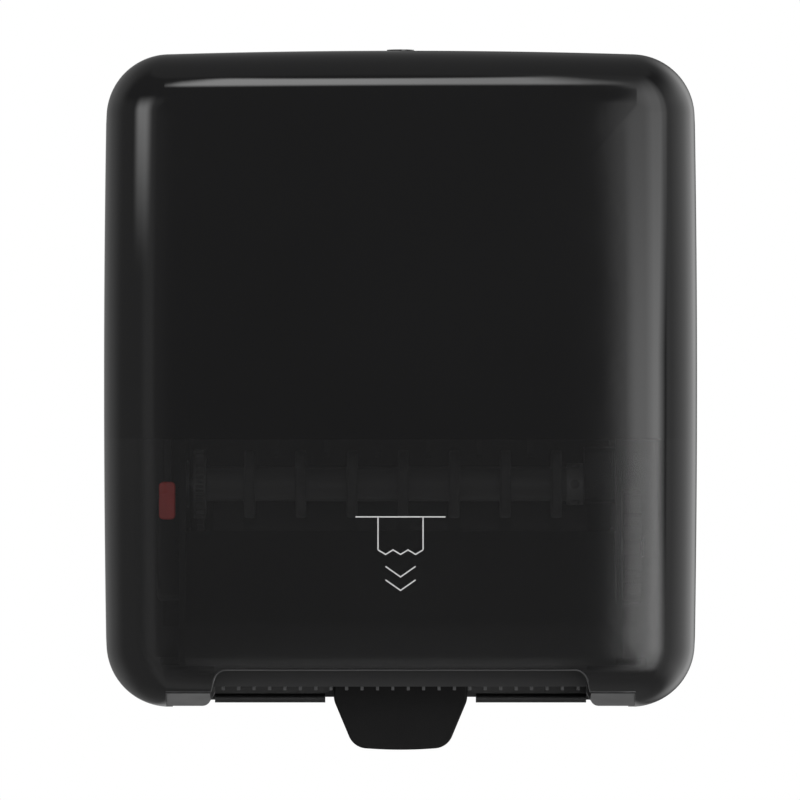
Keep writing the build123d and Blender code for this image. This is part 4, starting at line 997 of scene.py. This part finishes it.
class DISPENSER_OT_stage(bpy.types.Operator):
    """Set up the camera, the lamps, the room and the floor"""
    bl_idname = "dispenser.stage"
    bl_label = "Set stage"

    def execute(self, context):
        looks = context.scene.dispenser_studio
        scene = context.scene
        scene.view_settings.view_transform = "Standard"
        lens = bpy.data.cameras.new("front_camera")
        lens.sensor_width = SENSOR_WIDTH
        lens.lens = lens.sensor_width * looks.distance / looks.field
        camera = bpy.data.objects.new("front_camera", lens)
        camera.location = (looks.aim[0], -looks.distance, looks.aim[2])
        camera.rotation_euler = (radians(90), 0, 0)
        scene.collection.objects.link(camera)
        scene.camera = camera
        for name, place, size, power in LAMPS:
            self.lamp(scene, name, place, size, power)
        self.room(scene, looks)
        self.floor(context, looks)
        return {"FINISHED"}

    def lamp(self, scene, name, place, size, power):
        """A square lamp that looks at the dispenser and isn't mirrored in its gloss."""
        light = bpy.data.lights.new(name, "AREA")
        light.size = size
        light.energy = power
        lamp = bpy.data.objects.new(name, light)
        lamp.location = place
        lamp.rotation_euler = (-Vector(place)).to_track_quat("-Z", "Y").to_euler()
        lamp.visible_camera = False
        lamp.visible_glossy = False
        scene.collection.objects.link(lamp)

    def room(self, scene, looks):
        """White room for the camera, soft boxes for the gloss and even light for the rest."""
        world = bpy.data.worlds.new("studio")
        world.use_nodes = True
        start = Wire(world.node_tree)
        ray = start.node("ShaderNodeTexCoord", output="Generated")
        x = ray.node("ShaderNodeSeparateXYZ", None, {"Vector": ray})
        y = x.out("Y")
        z = x.out("Z")
        turn = x.math("ARCTAN2", x, -y) * degrees(1)
        rise = z.math("ARCSINE", z) * degrees(1)
        gloss = looks.front + self.right_box(turn, rise) + self.left_box(turn, rise)
        gloss = gloss + self.top_box(turn, rise) + self.far_light(turn, rise, y)
        path = start.node("ShaderNodeLightPath")
        seen = path.math("MAXIMUM", path, path.out("Is Transmission Ray"))
        shiny = path.out("Is Glossy Ray")
        level = seen + (1.0 - seen) * (shiny * gloss + (1.0 - shiny) * looks.ambient)
        background = world.node_tree.nodes["Background"]
        background.inputs["Color"].default_value = WHITE
        feed(background, "Strength", level)
        scene.world = world

    def right_box(self, turn, rise):
        """Tall soft box at the right, with a soft edge towards the camera."""
        lean = turn + RIGHT_WAIST * rise.rise(*RIGHT_WAIST_EDGE) - RIGHT_HEAD * rise.ramp(*RIGHT_HEAD_EDGE)
        lean = lean - RIGHT_FOOT * rise.rise(*RIGHT_FOOT_EDGE)
        far = turn - RIGHT_END_HIGH * rise.ramp(*RIGHT_END_HIGH_EDGE)
        far = far - RIGHT_END_LOW * rise.rise(*RIGHT_END_LOW_EDGE)
        box = RIGHT_LEVEL * lean.ramp(*RIGHT_EDGE) + RIGHT_SWELL * turn.ramp(*RIGHT_SWELL_EDGE)
        box = box * far.ramp(*RIGHT_END) * (1.0 - RIGHT_DIM * rise.rise(*RIGHT_DIM_EDGE))
        box = box * rise.rise(*RIGHT_TOP) * rise.rise(*RIGHT_BOTTOM)
        return box * (RIGHT_BASE + (1.0 - RIGHT_BASE) * rise.ramp(*RIGHT_BASE_EDGE))

    def left_box(self, turn, rise):
        """Short soft box high at the left, above a faint glow."""
        box = LEFT_LEVEL * turn.rise(*LEFT_OUTER) * turn.rise(*LEFT_INNER)
        box = box * rise.rise(*LEFT_BOTTOM) * rise.rise(*LEFT_TOP)
        far = GLOW_FAR * turn.rise(*GLOW_FAR_EDGE) * turn.rise(*GLOW_END)
        glow = GLOW_NEAR * turn.rise(*GLOW_NEAR_EDGE) + far
        return box + glow * rise.rise(*GLOW_TOP)

    def top_box(self, turn, rise):
        """Long narrow soft box above the camera, dimmer towards the right."""
        lift = rise - TOP_BEND * turn * turn - TOP_TILT * turn
        box = TOP_LEVEL * lift.rise(*TOP_LOWER) * lift.rise(*TOP_UPPER)
        box = box * turn.rise(*TOP_LEFT) * turn.rise(*TOP_RIGHT)
        return box * (1.0 - TOP_DIM * turn.rise(*TOP_DIM_EDGE))

    def far_light(self, turn, rise, y):
        """Light of the room at the far sides, overhead, behind and below."""
        level = rise.rise(*FAR_TOP) * rise.rise(*FAR_BOTTOM)
        right = FAR_RIGHT * turn.rise(*FAR_RIGHT_EDGE) + turn.ramp(*FAR_RIGHT_SLOPE)
        right = right * turn.rise(*FAR_RIGHT_END) * level
        left = FAR_LEFT * turn.rise(*FAR_LEFT_EDGE) * turn.rise(*FAR_LEFT_END) * level
        behind = y.rise(*BEHIND)
        over = rise.math("MAXIMUM", rise.rise(*OVER_EDGE), behind * rise.rise(*OVER_BEHIND_EDGE))
        low = LOW_NEAR * rise.rise(*LOW_NEAR_EDGE) + LOW_FAR * rise.rise(*LOW_FAR_EDGE)
        low = low * turn.rise(*LOW_LEFT) * turn.rise(*LOW_RIGHT)
        side = SIDE_NEAR * rise.rise(*SIDE_NEAR_EDGE) + SIDE_FAR * rise.rise(*SIDE_FAR_EDGE)
        side = side * turn.rise(*SIDE_LEFT)
        span = turn.math("ABSOLUTE", turn).rise(*UNDER_SPAN)
        under = UNDER_LEVEL * behind * rise.rise(*UNDER_EDGE) * span
        return right + left + OVER_LEVEL * over + low + side + under

    def floor(self, context, looks):
        """Plain pale floor, well below the dispenser, a little brighter for the camera alone."""
        mesh = bmesh.new()
        bmesh.ops.create_grid(mesh, x_segments=FLOOR_CELLS, y_segments=FLOOR_CELLS, size=FLOOR_HALF)
        floor = place_mesh(context, "floor", mesh)
        floor.location = (0, 0, looks.floor)
        pale = matte_plastic("floor_pale", looks.floor_colour, FLOOR_ROUGHNESS, grain=FLOOR_GRAIN)
        shader, place = inside(pale)
        path = place.node("ShaderNodeLightPath", output="Is Camera Ray")
        feed(shader, "Emission Color", path.blend(BLACK, WHITE))
        shader.inputs["Emission Strength"].default_value = looks.floor_glow
        floor.data.materials.append(pale)
        floor.visible_glossy = False


class DISPENSER_PT_sidebar(bpy.types.Panel):
    """Buttons for each step"""
    bl_label = "Hand towel dispenser"
    bl_idname = "DISPENSER_PT_sidebar"
    bl_space_type = "VIEW_3D"
    bl_region_type = "UI"
    bl_category = "Dispenser"

    def draw(self, context):
        for step in STEPS:
            self.layout.operator(step.bl_idname)


STEPS = (
    DISPENSER_OT_cover,
    DISPENSER_OT_chassis,
    DISPENSER_OT_feed,
    DISPENSER_OT_sign,
    DISPENSER_OT_stage,
)
GROUPS = {
    "dispenser_shape": CoverShape,
    "dispenser_cover": CoverLooks,
    "dispenser_inner": InnerLooks,
    "dispenser_sign": SignLooks,
    "dispenser_studio": StudioLooks,
}


def register():
    for group in GROUPS.values():
        bpy.utils.register_class(group)
    for step in STEPS:
        bpy.utils.register_class(step)
    bpy.utils.register_class(DISPENSER_PT_sidebar)
    for name, group in GROUPS.items():
        setattr(bpy.types.Scene, name, bpy.props.PointerProperty(type=group))


def unregister():
    for name in GROUPS:
        delattr(bpy.types.Scene, name)
    bpy.utils.unregister_class(DISPENSER_PT_sidebar)
    for step in reversed(STEPS):
        bpy.utils.unregister_class(step)
    for group in GROUPS.values():
        bpy.utils.unregister_class(group)


def main():
    register()
    bpy.ops.dispenser.cover()
    bpy.ops.dispenser.chassis()
    bpy.ops.dispenser.feed()
    bpy.ops.dispenser.sign()
    bpy.ops.dispenser.stage()


if __name__ == "__main__":
    main()
